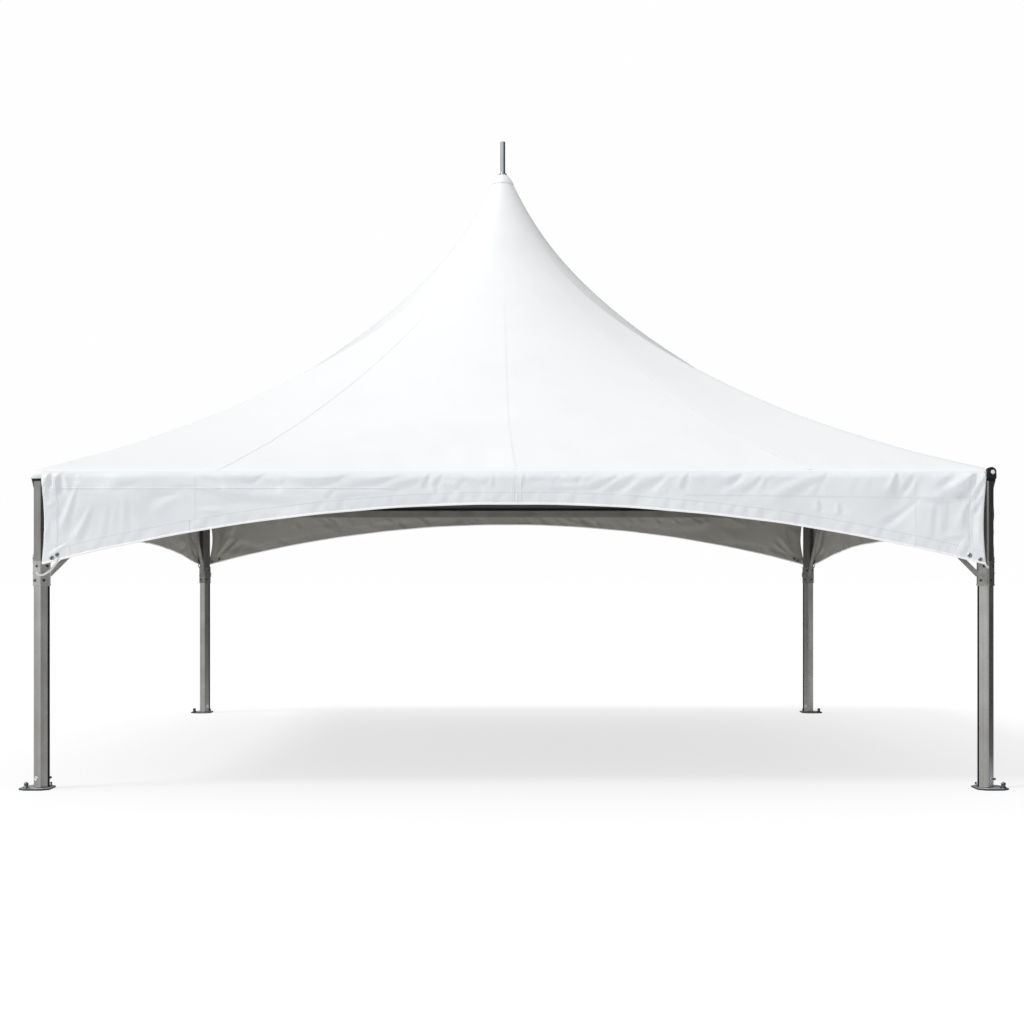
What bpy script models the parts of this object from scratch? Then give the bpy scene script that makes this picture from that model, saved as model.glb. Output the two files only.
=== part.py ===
"""Frame marquee, 6.1 m square, with a tall concave peak.

Four aluminium legs stand on base plates and carry eave beams. Two crossed cables at eave
height hold the foot of a mast, and the mast pushes up the peak of the fabric roof, whose four
panels meet at the hips. A fabric valance with an arched lower edge hangs from each eave. The
mast stands a little left of the middle, and the roof's rings follow it.
Metres, +Z up, origin on the ground at the centre of the plan, front toward -Y.
"""
import math

import bmesh
import bpy
from mathutils import Vector

# Clearance between pieces that touch on the real tent
GAP = 0.0003

# Plan
LEG_SPACING = 6.10
LEG_AXIS = LEG_SPACING / 2
CORNERS = {
    "front_left": (-1, -1),
    "front_right": (1, -1),
    "back_left": (-1, 1),
    "back_right": (1, 1),
}
# Each side is drawn as the front and turned into place by an angle; its two ends take the
# names of the sides that they meet, first the end at its own left
SIDES = {
    "front": (0.0, ("left", "right")),
    "right": (math.pi / 2, ("front", "back")),
    "back": (math.pi, ("right", "left")),
    "left": (-math.pi / 2, ("back", "front")),
}

# Base plates, set a little outward of the legs
PLATE_LENGTH = 0.200
PLATE_DEPTH = 0.240
PLATE_CLIP = 0.045
PLATE_THICKNESS = 0.010
PLATE_OFFSET = 0.028

# Legs, an 80 mm square tube turned on its corner
LEG_FACE = 0.080
LEG_CLIP = 0.009
LEG_JOINT_Z = 1.400
POST_TOP_Z = 1.985

# Collars that join the leg to the upper post and take the knee braces
COLLAR_FACE = 0.087
COLLAR_CLIP = 0.011
COLLAR_BOTTOM_Z = 1.310
COLLAR_TOP_Z = 1.470
LUG_REACH = 0.062
LUG_THICKNESS = 0.020
LUG_HEIGHT = 0.046
CUT_OVERRUN = 0.020

# Knee braces at 45 degrees; the back has none, which leaves its arch clear
BRACED_SIDES = ("front", "right", "left")
BRACE_WIDTH = 0.028
BRACE_THICKNESS = 0.025
BRACE_FOOT_Z = 1.393

# Eave: beams, corner fittings and the fabric's outer face
EAVE_HALF = 3.12
FABRIC = 0.010
BEAM_DEPTH = 0.070
BEAM_BOTTOM_Z = 1.975
BEAM_TOP_Z = 2.040
BEAM_SHOULDER_Z = 2.018
BEAM_SHOULDER = 0.028
FITTING_TOP_Z = 2.020
FITTING_INNER = 3.000
FITTING_OUTER_CLIP = 0.050
FITTING_INNER_CLIP = 0.035
FITTING_SIDE_CLIP = 0.008

# Roof profile from the peak to the eave
PEAK_Z = 4.814
EAVE_Z = 2.075
PROFILE_BEND = 2.055
PROFILE_DISH = 0.733
PROFILE_DISH_POWER = 3.505
EAVE_SLOPE = (PEAK_Z - EAVE_Z) * (1.0 + PROFILE_DISH) / (1.0 + PROFILE_BEND) / LEG_AXIS
SQUARING_POWER = 1.5
ROUND_RADIUS = 0.122
ROLL_RADIUS = 0.030
ROLL_STEPS = 4
LIP_BOTTOM_Z = 2.000
CORNER_CUT = 0.0047
ROOF_RINGS = 17
PEAK_HOLE_RADIUS = 0.081
CAP_SEAT_RADIUS = 0.084
HEAD_SEAT_RADIUS = 0.115
SIDE_STEPS = (0.0, 0.2, 0.4, 0.6, 0.78, 0.91, 0.990)
PEAK_SHIFT = -0.054
SHIFT_POWER = 6
WEDGE_REACH = 4.0

# Valances: lower edge at the middle and at the ends, and how round the arch is
VALANCE_HALF = 3.030
VALANCE_COLUMNS = 28
VALANCE_ROWS = 2
VALANCE_ARCHES = {
    "front": (1.826, 1.450, 2.0),
    "back": (1.900, 1.495, 2.0),
    "left": (1.665, 1.490, 2.3),
    "right": (1.665, 1.490, 2.3),
}

# Mast, its foot on the crossed cables, and the peak
MAST_RADIUS = 0.030
MAST_TOP_Z = 4.640
FOOT_FACE = 0.120
FOOT_BOTTOM_Z = 1.972
FOOT_TOP_Z = 2.012
HEAD_THICKNESS = 0.012
HEAD_GAP = 0.0006
CAP_WALL = 0.005
CAP_TOP_Z = 4.700
CAP_TOP_RADIUS = 0.034
CAP_WAIST_RADIUS = 0.066
CAP_WAIST_Z = 4.666
CAP_SEAT_GAP = 0.0012
SPIKE_RADIUS = 0.020
SPIKE_TOP_Z = 4.974
SPIKE_FLANGE_RADIUS = 0.033
SPIKE_FLANGE_HEIGHT = 0.020
CABLE_RADIUS = 0.006
CABLE_FOOT_Z = 1.990
CABLE_CORNER_Z = 2.003
TURNED_STEPS = 32

# Finishes: sRGB colour, roughness, metallic
FINISHES = {
    "coated_roof_fabric": ((0.955, 0.965, 0.975), 0.45, 0.0),
    "coated_valance_fabric": ((0.925, 0.935, 0.945), 0.45, 0.0),
    "extruded_aluminium": ((0.62, 0.62, 0.61), 0.38, 1.0),
    "cast_aluminium": ((0.56, 0.56, 0.54), 0.55, 1.0),
    "zinc_plated_steel": ((0.45, 0.46, 0.47), 0.45, 1.0),
    "galvanised_cable": ((0.50, 0.51, 0.52), 0.45, 1.0),
    "black_corner_casting": ((0.06, 0.06, 0.065), 0.50, 0.0),
}


def srgb_to_linear(value):
    """Return the linear value of one sRGB channel."""
    if value <= 0.04045:
        return value / 12.92
    return ((value + 0.055) / 1.055) ** 2.4


def make_materials():
    """Make one Principled material for each finish."""
    materials = {}
    for name, (colour, roughness, metallic) in FINISHES.items():
        material = bpy.data.materials.new(name)
        material.use_nodes = True
        shader = material.node_tree.nodes["Principled BSDF"]
        shader.inputs["Base Color"].default_value = (*(srgb_to_linear(c) for c in colour), 1.0)
        shader.inputs["Roughness"].default_value = roughness
        shader.inputs["Metallic"].default_value = metallic
        materials[name] = material
    return materials


def make_collection(name):
    """Make a collection linked to the scene."""
    collection = bpy.data.collections.new(name)
    bpy.context.scene.collection.children.link(collection)
    return collection


def add_object(name, data, material, collection, location=(0.0, 0.0, 0.0), turn=0.0):
    """Link a named object with its material, placed and turned about Z."""
    obj = bpy.data.objects.new(name, data)
    if material is not None:
        data.materials.append(material)
    obj.location = location
    obj.rotation_euler = (0.0, 0.0, turn)
    collection.objects.link(obj)
    return obj


def outline_curve(name, outline, thickness):
    """Make a filled flat outline, extruded to a thickness about its own plane."""
    curve = bpy.data.curves.new(name, "CURVE")
    curve.dimensions = "2D"
    curve.fill_mode = "BOTH"
    curve.extrude = thickness / 2
    spline = curve.splines.new("POLY")
    spline.points.add(len(outline) - 1)
    for point, (x, y) in zip(spline.points, outline):
        point.co = (x, y, 0.0, 1.0)
    spline.use_cyclic_u = True
    return curve


def upright_prism(name, outline, bottom, top, centre, material, collection):
    """Make a prism with a plan outline between two heights."""
    curve = outline_curve(name, outline, top - bottom)
    location = (centre[0], centre[1], (bottom + top) / 2)
    return add_object(name, curve, material, collection, location)


def clipped_rectangle(low, high, clips):
    """Return a rectangle with clipped corners, counter-clockwise from low x, low y."""
    (x0, y0), (x1, y1) = low, high
    a, b, c, d = clips
    return [
        (x0 + a, y0), (x1 - b, y0), (x1, y0 + b), (x1, y1 - c),
        (x1 - c, y1), (x0 + d, y1), (x0, y1 - d), (x0, y0 + a),
    ]


def corner_turned_square(face, clip):
    """Return a square of a given face turned on its corner, with its corners clipped."""
    half = face / 2
    square = clipped_rectangle((-half, -half), (half, half), (clip,) * 4)
    turn = math.sqrt(0.5)
    return [((x - y) * turn, (x + y) * turn) for x, y in square]


def mesh_from_curve(curve_object):
    """Turn a curve object into a welded mesh object of the same name, material and place."""
    bpy.context.view_layer.update()
    depsgraph = bpy.context.evaluated_depsgraph_get()
    mesh = bpy.data.meshes.new_from_object(curve_object.evaluated_get(depsgraph))
    welded = bmesh.new()
    welded.from_mesh(mesh)
    bmesh.ops.remove_doubles(welded, verts=welded.verts, dist=0.00001)
    welded.to_mesh(mesh)
    welded.free()
    name = curve_object.name
    matrix = curve_object.matrix_world.copy()
    collection = curve_object.users_collection[0]
    bpy.data.objects.remove(curve_object)
    mesh_object = bpy.data.objects.new(name, mesh)
    mesh_object.matrix_world = matrix
    collection.objects.link(mesh_object)
    return mesh_object


def make_cutter(name, mesh, cutters, location=(0.0, 0.0, 0.0)):
    """Make a mesh object for a Boolean, which is not a piece of the tent."""
    cutter = bpy.data.objects.new(name, mesh)
    cutter.location = location
    cutter.hide_render = True
    cutter.display_type = "WIRE"
    cutters.objects.link(cutter)
    return cutter


def add_boolean(target, operation, cutter):
    """Add an exact Boolean modifier."""
    modifier = target.modifiers.new(operation.lower(), "BOOLEAN")
    modifier.operation = operation
    modifier.solver = "EXACT"
    modifier.object = cutter


def box_mesh(name, size):
    """Return a box mesh centred on its origin."""
    shape = bmesh.new()
    bmesh.ops.create_cube(shape, size=1.0)
    bmesh.ops.scale(shape, vec=Vector(size), verts=shape.verts)
    mesh = bpy.data.meshes.new(name)
    shape.to_mesh(mesh)
    shape.free()
    return mesh


def turned_piece(name, profile, material, collection):
    """Turn a closed profile of radius and height about the mast's axis."""
    shape = bmesh.new()
    corners = [shape.verts.new((radius, 0.0, height)) for radius, height in profile]
    for first, second in zip(corners, corners[1:]):
        shape.edges.new((first, second))
    if profile[0][0] > 0.0:
        shape.edges.new((corners[-1], corners[0]))
    mesh = bpy.data.meshes.new(name)
    shape.to_mesh(mesh)
    shape.free()
    piece = add_object(name, mesh, material, collection, (PEAK_SHIFT, 0.0, 0.0))
    screw = piece.modifiers.new("turn", "SCREW")
    screw.steps = TURNED_STEPS
    screw.render_steps = TURNED_STEPS
    screw.use_merge_vertices = True
    screw.merge_threshold = 0.0001
    screw.use_smooth_shade = True
    return piece


def roof_height(distance):
    """Return the roof's height above ground at a distance from the mast, square to a side."""
    share = min(distance / LEG_AXIS, 1.0)
    sweep = (1.0 + PROFILE_DISH) * (1.0 - share) / (1.0 + PROFILE_BEND * share)
    dish = PROFILE_DISH * (1.0 - share) ** PROFILE_DISH_POWER
    height = EAVE_Z + (PEAK_Z - EAVE_Z) * (sweep - dish)
    return height - EAVE_SLOPE * max(distance - LEG_AXIS, 0.0)


def roof_profile():
    """Return the distance and height of each ring from the peak down to the lip."""
    rings = [(d, roof_height(d)) for d in (PEAK_HOLE_RADIUS, CAP_SEAT_RADIUS, HEAD_SEAT_RADIUS)]
    for index in range(1, ROOF_RINGS + 1):
        share = (index / ROOF_RINGS) ** 1.35
        distance = HEAD_SEAT_RADIUS + share * (LEG_AXIS - HEAD_SEAT_RADIUS)
        rings.append((distance, roof_height(distance)))
    start = math.pi / 2 - math.atan(EAVE_SLOPE)
    roll_centre = EAVE_HALF - ROLL_RADIUS
    roll_start = roll_centre + ROLL_RADIUS * math.cos(start)
    roll_centre_z = roof_height(roll_start) - ROLL_RADIUS * math.sin(start)
    for step in range(ROLL_STEPS + 1):
        angle = start * (1.0 - step / ROLL_STEPS)
        distance = roll_centre + ROLL_RADIUS * math.cos(angle)
        rings.append((distance, roll_centre_z + ROLL_RADIUS * math.sin(angle)))
    rings.append((EAVE_HALF, LIP_BOTTOM_Z))
    return rings


def ring_shift(distance):
    """Return how far a roof ring is moved along X by the mast, down to none at the legs."""
    return PEAK_SHIFT * (1.0 - min(distance / LEG_AXIS, 1.0) ** SHIFT_POWER)


def ring_point(distance, height, angle):
    """Return a point of a roof ring, round near the peak and square at the eave."""
    beyond_round = (distance - ROUND_RADIUS) / (LEG_AXIS - ROUND_RADIUS)
    squaring = min(max(beyond_round, 0.0), 1.0) ** SQUARING_POWER
    from_middle = (angle + math.pi / 4) % (math.pi / 2) - math.pi / 4
    at_corner = abs(abs(from_middle) - math.pi / 4) < 1e-6
    reach = distance * ((1.0 - squaring) + squaring / math.cos(from_middle))
    if at_corner:
        reach *= 1.0 - CORNER_CUT * squaring
    return Vector((reach * math.cos(angle) + ring_shift(distance), reach * math.sin(angle), height))


def roof_angles():
    """Return the directions of the roof's columns, closer together near the hips."""
    angles = []
    for quarter in range(4):
        middle = quarter * math.pi / 2
        steps = [-1.0] + [-s for s in reversed(SIDE_STEPS[1:])] + list(SIDE_STEPS)
        angles += [middle + step * math.pi / 4 for step in steps]
    return angles


def make_roof_shell(name, material, collection):
    """Loft the roof from the round peak to the square eave and give it a thickness."""
    shape = bmesh.new()
    angles = roof_angles()
    rings = [[shape.verts.new(ring_point(d, z, a)) for a in angles] for d, z in roof_profile()]
    count = len(angles)
    for upper, lower in zip(rings, rings[1:]):
        for index in range(count):
            after = (index + 1) % count
            shape.faces.new((upper[index], lower[index], lower[after], upper[after]))
    mesh = bpy.data.meshes.new(name)
    shape.to_mesh(mesh)
    shape.free()
    mesh.shade_smooth()
    roof = add_object(name, mesh, material, collection)
    solidify = roof.modifiers.new("fabric", "SOLIDIFY")
    solidify.thickness = FABRIC
    solidify.offset = -1.0
    return roof


def hip_plan(across, turn):
    """Return the plan of one hip of a side, from the mast's axis out past the corner.

    Across is -1 for the hip at the side's own left and 1 for the one at its right. The line
    lies half a gap outside the true hip, so that two sides keep their clearance.
    """
    rings = [d for d, _ in roof_profile() if d < LEG_AXIS - GAP]
    offset = GAP * math.sqrt(0.5)
    line = []
    for distance in (0.0, *rings, LEG_AXIS, WEDGE_REACH):
        x, y = across * distance, -distance - offset
        line.append((x * math.cos(turn) - y * math.sin(turn) + ring_shift(distance),
                     x * math.sin(turn) + y * math.cos(turn)))
    return line


def make_roof_panel(side, turn, material, collection, cutters):
    """Make one side of the roof, the shell cut along the two hips that bound it."""
    panel = make_roof_shell(f"{side}_roof_panel", material, collection)
    outline = hip_plan(-1, turn) + hip_plan(1, turn)[:0:-1]
    prism = upright_prism(f"{side}_roof_wedge", outline, LIP_BOTTOM_Z - CUT_OVERRUN, PEAK_Z,
                          (0.0, 0.0), None, cutters)
    wedge = mesh_from_curve(prism)
    wedge.hide_render = True
    wedge.display_type = "WIRE"
    add_boolean(panel, "INTERSECT", wedge)
    return panel


def valance_bottom(side, along):
    """Return the height of a valance's lower edge at a distance along it."""
    middle, end, power = VALANCE_ARCHES[side]
    return middle - (middle - end) * (abs(along) / VALANCE_HALF) ** power


def make_valance(side, turn, material, collection):
    """Make one valance: a flat sheet with an arched lower edge, hung under the roof's lip."""
    top = LIP_BOTTOM_Z - GAP
    shape = bmesh.new()
    columns = []
    for index in range(VALANCE_COLUMNS + 1):
        along = VALANCE_HALF * (2.0 * index / VALANCE_COLUMNS - 1.0)
        bottom = valance_bottom(side, along)
        heights = [bottom + (top - bottom) * row / VALANCE_ROWS for row in range(VALANCE_ROWS + 1)]
        columns.append([shape.verts.new((along, -EAVE_HALF, height)) for height in heights])
    for left, right in zip(columns, columns[1:]):
        for row in range(VALANCE_ROWS):
            shape.faces.new((left[row], right[row], right[row + 1], left[row + 1]))
    mesh = bpy.data.meshes.new(f"{side}_valance")
    shape.to_mesh(mesh)
    shape.free()
    valance = add_object(f"{side}_valance", mesh, material, collection, turn=turn)
    solidify = valance.modifiers.new("fabric", "SOLIDIFY")
    solidify.thickness = FABRIC
    solidify.offset = -1.0
    return valance


def make_base_plate(corner, sign, material, collection):
    """Make one base plate with clipped corners."""
    half = (PLATE_LENGTH / 2, PLATE_DEPTH / 2)
    outline = clipped_rectangle((-half[0], -half[1]), half, (PLATE_CLIP,) * 4)
    centre = (sign[0] * (LEG_AXIS + PLATE_OFFSET), sign[1] * LEG_AXIS)
    name = f"base_plate_{corner}"
    return upright_prism(name, outline, 0.0, PLATE_THICKNESS, centre, material, collection)


def make_leg(corner, sign, material, collection):
    """Make the lower leg and the upper post of one corner."""
    outline = corner_turned_square(LEG_FACE, LEG_CLIP)
    axis = (sign[0] * LEG_AXIS, sign[1] * LEG_AXIS)
    foot = PLATE_THICKNESS + GAP
    upright_prism(f"lower_leg_{corner}", outline, foot, LEG_JOINT_Z, axis, material, collection)
    upright_prism(f"upper_post_{corner}", outline, LEG_JOINT_Z + GAP, POST_TOP_Z, axis,
                  material, collection)


def make_collar(corner, sign, material, collection, cutters):
    """Make one collar: a sleeve round the leg with two lugs for the knee braces."""
    axis = (sign[0] * LEG_AXIS, sign[1] * LEG_AXIS)
    name = f"leg_collar_{corner}"
    sleeve_outline = corner_turned_square(COLLAR_FACE, COLLAR_CLIP)
    sleeve = upright_prism(name, sleeve_outline, COLLAR_BOTTOM_Z, COLLAR_TOP_Z, axis,
                           None, collection)
    collar = mesh_from_curve(sleeve)
    collar.data.materials.append(material)
    lug_length = LUG_REACH - COLLAR_FACE / 4
    lug_middle = (LUG_REACH + COLLAR_FACE / 4) / 2
    along_x = box_mesh(f"{name}_lug_x", (lug_length, LUG_THICKNESS, LUG_HEIGHT))
    along_y = box_mesh(f"{name}_lug_y", (LUG_THICKNESS, lug_length, LUG_HEIGHT))
    place_x = (axis[0] - sign[0] * lug_middle, axis[1], BRACE_FOOT_Z)
    place_y = (axis[0], axis[1] - sign[1] * lug_middle, BRACE_FOOT_Z)
    add_boolean(collar, "UNION", make_cutter(f"{name}_lug_x", along_x, cutters, place_x))
    add_boolean(collar, "UNION", make_cutter(f"{name}_lug_y", along_y, cutters, place_y))
    bore_outline = corner_turned_square(LEG_FACE + 2 * GAP, LEG_CLIP)
    bore = upright_prism(f"{name}_bore", bore_outline, COLLAR_BOTTOM_Z - CUT_OVERRUN,
                         COLLAR_TOP_Z + CUT_OVERRUN, axis, None, cutters)
    bore = mesh_from_curve(bore)
    bore.hide_render = True
    bore.display_type = "WIRE"
    add_boolean(collar, "DIFFERENCE", bore)
    return collar


def make_corner_fitting(corner, sign, material, collection):
    """Make the casting that caps a post and joins two eave beams."""
    outer = EAVE_HALF - FABRIC - GAP
    clips = (FITTING_INNER_CLIP, FITTING_SIDE_CLIP, FITTING_OUTER_CLIP, FITTING_SIDE_CLIP)
    outline = clipped_rectangle((FITTING_INNER, FITTING_INNER), (outer, outer), clips)
    placed = [(sign[0] * x, sign[1] * y) for x, y in outline]
    name = f"corner_fitting_{corner}"
    return upright_prism(name, placed, POST_TOP_Z + GAP, FITTING_TOP_Z, (0.0, 0.0),
                         material, collection)


def make_eave_beam(side, turn, material, collection):
    """Make the beam of one side, with a sloped shoulder under the fabric.

    Its section is drawn across the side: x is the distance out from the centre of the plan
    and y is the height.
    """
    outer = EAVE_HALF - FABRIC - GAP
    inner = outer - BEAM_DEPTH
    section = [
        (inner, BEAM_BOTTOM_Z), (outer, BEAM_BOTTOM_Z), (outer, BEAM_SHOULDER_Z),
        (outer - BEAM_SHOULDER, BEAM_TOP_Z), (inner, BEAM_TOP_Z),
    ]
    curve = outline_curve(f"{side}_eave_beam", section, 2 * (FITTING_INNER - GAP))
    beam = add_object(curve.name, curve, material, collection)
    beam.rotation_euler = (math.pi / 2, 0.0, turn - math.pi / 2)
    return beam


def make_knee_brace(side, turn, end, direction, material, collection):
    """Make one knee brace, from a collar's lug up to the eave beam."""
    half_cut = BRACE_WIDTH * math.sqrt(0.5)
    foot = LEG_AXIS - LUG_REACH - GAP
    top_z = BEAM_BOTTOM_Z - GAP
    head = foot - (top_z - BRACE_FOOT_Z)
    outline = [
        (foot, BRACE_FOOT_Z - half_cut), (foot, BRACE_FOOT_Z + half_cut),
        (head + half_cut, top_z), (head - half_cut, top_z),
    ]
    placed = [(direction * x, z) for x, z in outline]
    curve = outline_curve(f"{side}_knee_brace_{end}", placed, BRACE_THICKNESS)
    brace = add_object(curve.name, curve, material, collection)
    brace.rotation_euler = (math.pi / 2, 0.0, turn)
    brace.location = (LEG_AXIS * math.sin(turn), -LEG_AXIS * math.cos(turn), 0.0)
    return brace


def make_cable(corner, sign, material, collection):
    """Make the taut cable from the mast's foot to one corner fitting."""
    clip_line = (FITTING_INNER + FITTING_INNER_CLIP / 2) * math.sqrt(2.0)
    unit = Vector((sign[0], sign[1], 0.0)).normalized()
    start = unit * (FOOT_FACE / 2 + GAP) + Vector((PEAK_SHIFT, 0.0, CABLE_FOOT_Z))
    end = unit * (clip_line - GAP) + Vector((0.0, 0.0, CABLE_CORNER_Z))
    curve = bpy.data.curves.new(f"cross_cable_{corner}", "CURVE")
    curve.dimensions = "3D"
    curve.bevel_depth = CABLE_RADIUS
    curve.bevel_resolution = 2
    curve.use_fill_caps = True
    spline = curve.splines.new("POLY")
    spline.points.add(1)
    for point, place in zip(spline.points, (start, end)):
        point.co = (*place, 1.0)
    return add_object(curve.name, curve, material, collection)


def make_mast(materials, collection):
    """Make the mast's foot, the mast with its head, the spike and the cap over the peak."""
    foot_outline = corner_turned_square(FOOT_FACE, 0.012)
    upright_prism("mast_foot", foot_outline, FOOT_BOTTOM_Z, FOOT_TOP_Z, (PEAK_SHIFT, 0.0),
                  materials["cast_aluminium"], collection)

    step = 0.001
    fall = roof_height(HEAD_SEAT_RADIUS - step) - roof_height(HEAD_SEAT_RADIUS + step)
    lean = math.atan(fall / (2 * step))
    inward = FABRIC + HEAD_GAP
    head_radius = HEAD_SEAT_RADIUS - inward * math.sin(lean)
    head_z = roof_height(HEAD_SEAT_RADIUS) - inward * math.cos(lean)
    turned_piece("mast", [
        (0.0, MAST_TOP_Z), (MAST_RADIUS, MAST_TOP_Z), (MAST_RADIUS, head_z + 0.012),
        (MAST_RADIUS + 0.012, head_z), (head_radius, head_z), (head_radius, head_z - HEAD_THICKNESS),
        (MAST_RADIUS + 0.010, head_z - HEAD_THICKNESS - 0.03), (MAST_RADIUS, head_z - 0.10),
        (MAST_RADIUS, FOOT_TOP_Z + GAP), (0.0, FOOT_TOP_Z + GAP),
    ], materials["extruded_aluminium"], collection)

    seat_z = roof_height(CAP_SEAT_RADIUS) + CAP_SEAT_GAP
    bore = SPIKE_RADIUS + 0.001
    turned_piece("peak_cap", [
        (bore, CAP_TOP_Z), (CAP_TOP_RADIUS, CAP_TOP_Z), (CAP_WAIST_RADIUS, CAP_WAIST_Z),
        (CAP_SEAT_RADIUS + CAP_WALL, seat_z), (CAP_SEAT_RADIUS, seat_z),
        (CAP_SEAT_RADIUS - CAP_WALL, seat_z + 0.015),
        (CAP_WAIST_RADIUS - CAP_WALL, CAP_WAIST_Z - CAP_WALL),
        (CAP_TOP_RADIUS - CAP_WALL, CAP_TOP_Z - 2 * CAP_WALL), (bore, CAP_TOP_Z - 2 * CAP_WALL),
    ], materials["coated_roof_fabric"], collection)

    flange_z = CAP_TOP_Z + GAP
    turned_piece("mast_spike", [
        (0.0, SPIKE_TOP_Z), (SPIKE_RADIUS - 0.002, SPIKE_TOP_Z), (SPIKE_RADIUS, SPIKE_TOP_Z - 0.002),
        (SPIKE_RADIUS, flange_z + SPIKE_FLANGE_HEIGHT), (SPIKE_RADIUS + 0.004, flange_z + 0.012),
        (SPIKE_FLANGE_RADIUS, flange_z + 0.006), (SPIKE_FLANGE_RADIUS, flange_z),
        (SPIKE_RADIUS, flange_z), (SPIKE_RADIUS, MAST_TOP_Z + GAP), (0.0, MAST_TOP_Z + GAP),
    ], materials["zinc_plated_steel"], collection)


def main():
    """Build the tent."""
    for existing in list(bpy.data.objects):
        bpy.data.objects.remove(existing)
    materials = make_materials()
    tent = make_collection("peak_marquee")
    cutters = make_collection("cutters")

    for corner, sign in CORNERS.items():
        make_base_plate(corner, sign, materials["zinc_plated_steel"], tent)
        make_leg(corner, sign, materials["extruded_aluminium"], tent)
        make_collar(corner, sign, materials["cast_aluminium"], tent, cutters)
        make_corner_fitting(corner, sign, materials["black_corner_casting"], tent)
        make_cable(corner, sign, materials["galvanised_cable"], tent)

    for side, (turn, ends) in SIDES.items():
        make_eave_beam(side, turn, materials["extruded_aluminium"], tent)
        make_roof_panel(side, turn, materials["coated_roof_fabric"], tent, cutters)
        make_valance(side, turn, materials["coated_valance_fabric"], tent)
        if side in BRACED_SIDES:
            for end, direction in zip(ends, (-1, 1)):
                make_knee_brace(side, turn, end, direction, materials["extruded_aluminium"], tent)

    make_mast(materials, tent)


main()
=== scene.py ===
"""Looks of a frame marquee, 6.1 m square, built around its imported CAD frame.

The tent is one welded roof sheet over a mast on crossed wire ropes, four valances with arched
hems, and aluminium legs with cast collars. Metres, +Z up, front toward -Y.
"""
import logging
import math
import random
from collections.abc import Callable, Iterable
from dataclasses import dataclass, field
from enum import Enum

import bmesh
import bpy
import numpy as np
from bpy.types import ID, Material, Mesh, Node, NodeSocket, NodeTree, Object
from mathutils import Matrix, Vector


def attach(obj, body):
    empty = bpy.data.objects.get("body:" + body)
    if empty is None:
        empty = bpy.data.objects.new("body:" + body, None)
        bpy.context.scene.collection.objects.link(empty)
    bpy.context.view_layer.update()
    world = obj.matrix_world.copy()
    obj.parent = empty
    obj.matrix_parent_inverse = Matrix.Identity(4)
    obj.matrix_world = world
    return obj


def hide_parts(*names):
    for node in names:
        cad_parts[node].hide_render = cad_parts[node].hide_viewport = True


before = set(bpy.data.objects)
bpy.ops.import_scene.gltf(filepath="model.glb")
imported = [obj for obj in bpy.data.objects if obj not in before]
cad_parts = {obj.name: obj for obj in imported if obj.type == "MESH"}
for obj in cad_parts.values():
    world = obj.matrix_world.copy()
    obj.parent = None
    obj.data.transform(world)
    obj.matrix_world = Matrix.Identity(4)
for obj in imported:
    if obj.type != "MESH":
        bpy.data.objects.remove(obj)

LOG = logging.getLogger("marquee")
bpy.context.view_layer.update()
BODY = "root"
MM = 0.001
# The photograph's width, the row of its horizon, the column of the tent's middle, the pixels to
# a metre at the front valance, and the height that it was taken from
PHOTO_SIDE = 1024
HORIZON_ROW = 578.0
MIDDLE_COLUMN = 513.7
VALANCE_PIXELS = 155.7
EYE_HEIGHT = 1.36

# A line: its points, and the normals there. A profile: radii and heights
Line = tuple[np.ndarray, np.ndarray]
Profile = list[tuple[float, float]]


class Side(Enum):
    """A side of the tent, with its name and its turn from the front about the vertical."""

    FRONT = ("front", 0.0)
    RIGHT = ("right", math.pi / 2)
    BACK = ("back", math.pi)
    LEFT = ("left", -math.pi / 2)

    @property
    def label(self) -> str:
        """Return the side's name as the CAD nodes use it."""
        return self.value[0]

    def place(self, along: np.ndarray | float, out: np.ndarray | float,
              up: np.ndarray | float) -> np.ndarray:
        """Turn places on this side into the frame.

        Args:
            along: Distance to the right of the middle, seen from outside the side.
            out: Distance out from the centre of the plan.
            up: Height above ground.

        Returns:
            The points, with x, y and z in the last axis.
        """
        along, out, up = np.broadcast_arrays(along, out, up)
        cos, sin = math.cos(self.value[1]), math.sin(self.value[1])
        return np.stack([along * cos + out * sin, along * sin - out * cos, up], axis=-1)


class Corner(Enum):
    """A corner of the tent, with its name and the signs of its x and y."""

    FRONT_LEFT = ("front_left", -1, -1)
    FRONT_RIGHT = ("front_right", 1, -1)
    BACK_LEFT = ("back_left", -1, 1)
    BACK_RIGHT = ("back_right", 1, 1)

    @property
    def label(self) -> str:
        """Return the corner's name as the CAD nodes use it."""
        return self.value[0]

    @property
    def signs(self) -> tuple[int, int]:
        """Return the signs of x and y at this corner."""
        return self.value[1:]

    def place(self, out_x: float, out_y: float, up: float) -> Vector:
        """Return a point given by its distances outward from the leg's axis, and its height."""
        return Vector((self.signs[0] * (LEG_AXIS + out_x), self.signs[1] * (LEG_AXIS + out_y), up))


class Grain(Enum):
    """The way a bar's die lines run, as the scale of its noise across x, y and z."""

    UPRIGHT = (90.0, 90.0, 0.4)
    ALONG_X = (0.4, 90.0, 90.0)
    ALONG_Y = (90.0, 0.4, 90.0)
    TUMBLED = (40.0, 40.0, 40.0)


class Tie(Enum):
    """How a valance's corner is tied to its collar.

    Each value has the knots of the tie's line: how far in from the cloth's end, height, and how
    far out from the plan's middle.
    """

    LONG = ((0.112, 1.500, 3.1245), (0.100, 1.462, 3.1275), (0.060, 1.412, 3.128),
            (0.018, 1.382, 3.127), (-0.016, 1.377, 3.126), (-0.038, 1.398, 3.1185))
    SHORT = ((0.036, 1.494, 3.1245), (0.020, 1.470, 3.1275), (0.004, 1.446, 3.128),
             (-0.012, 1.430, 3.122), (-0.020, 1.424, 3.1150))


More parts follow.
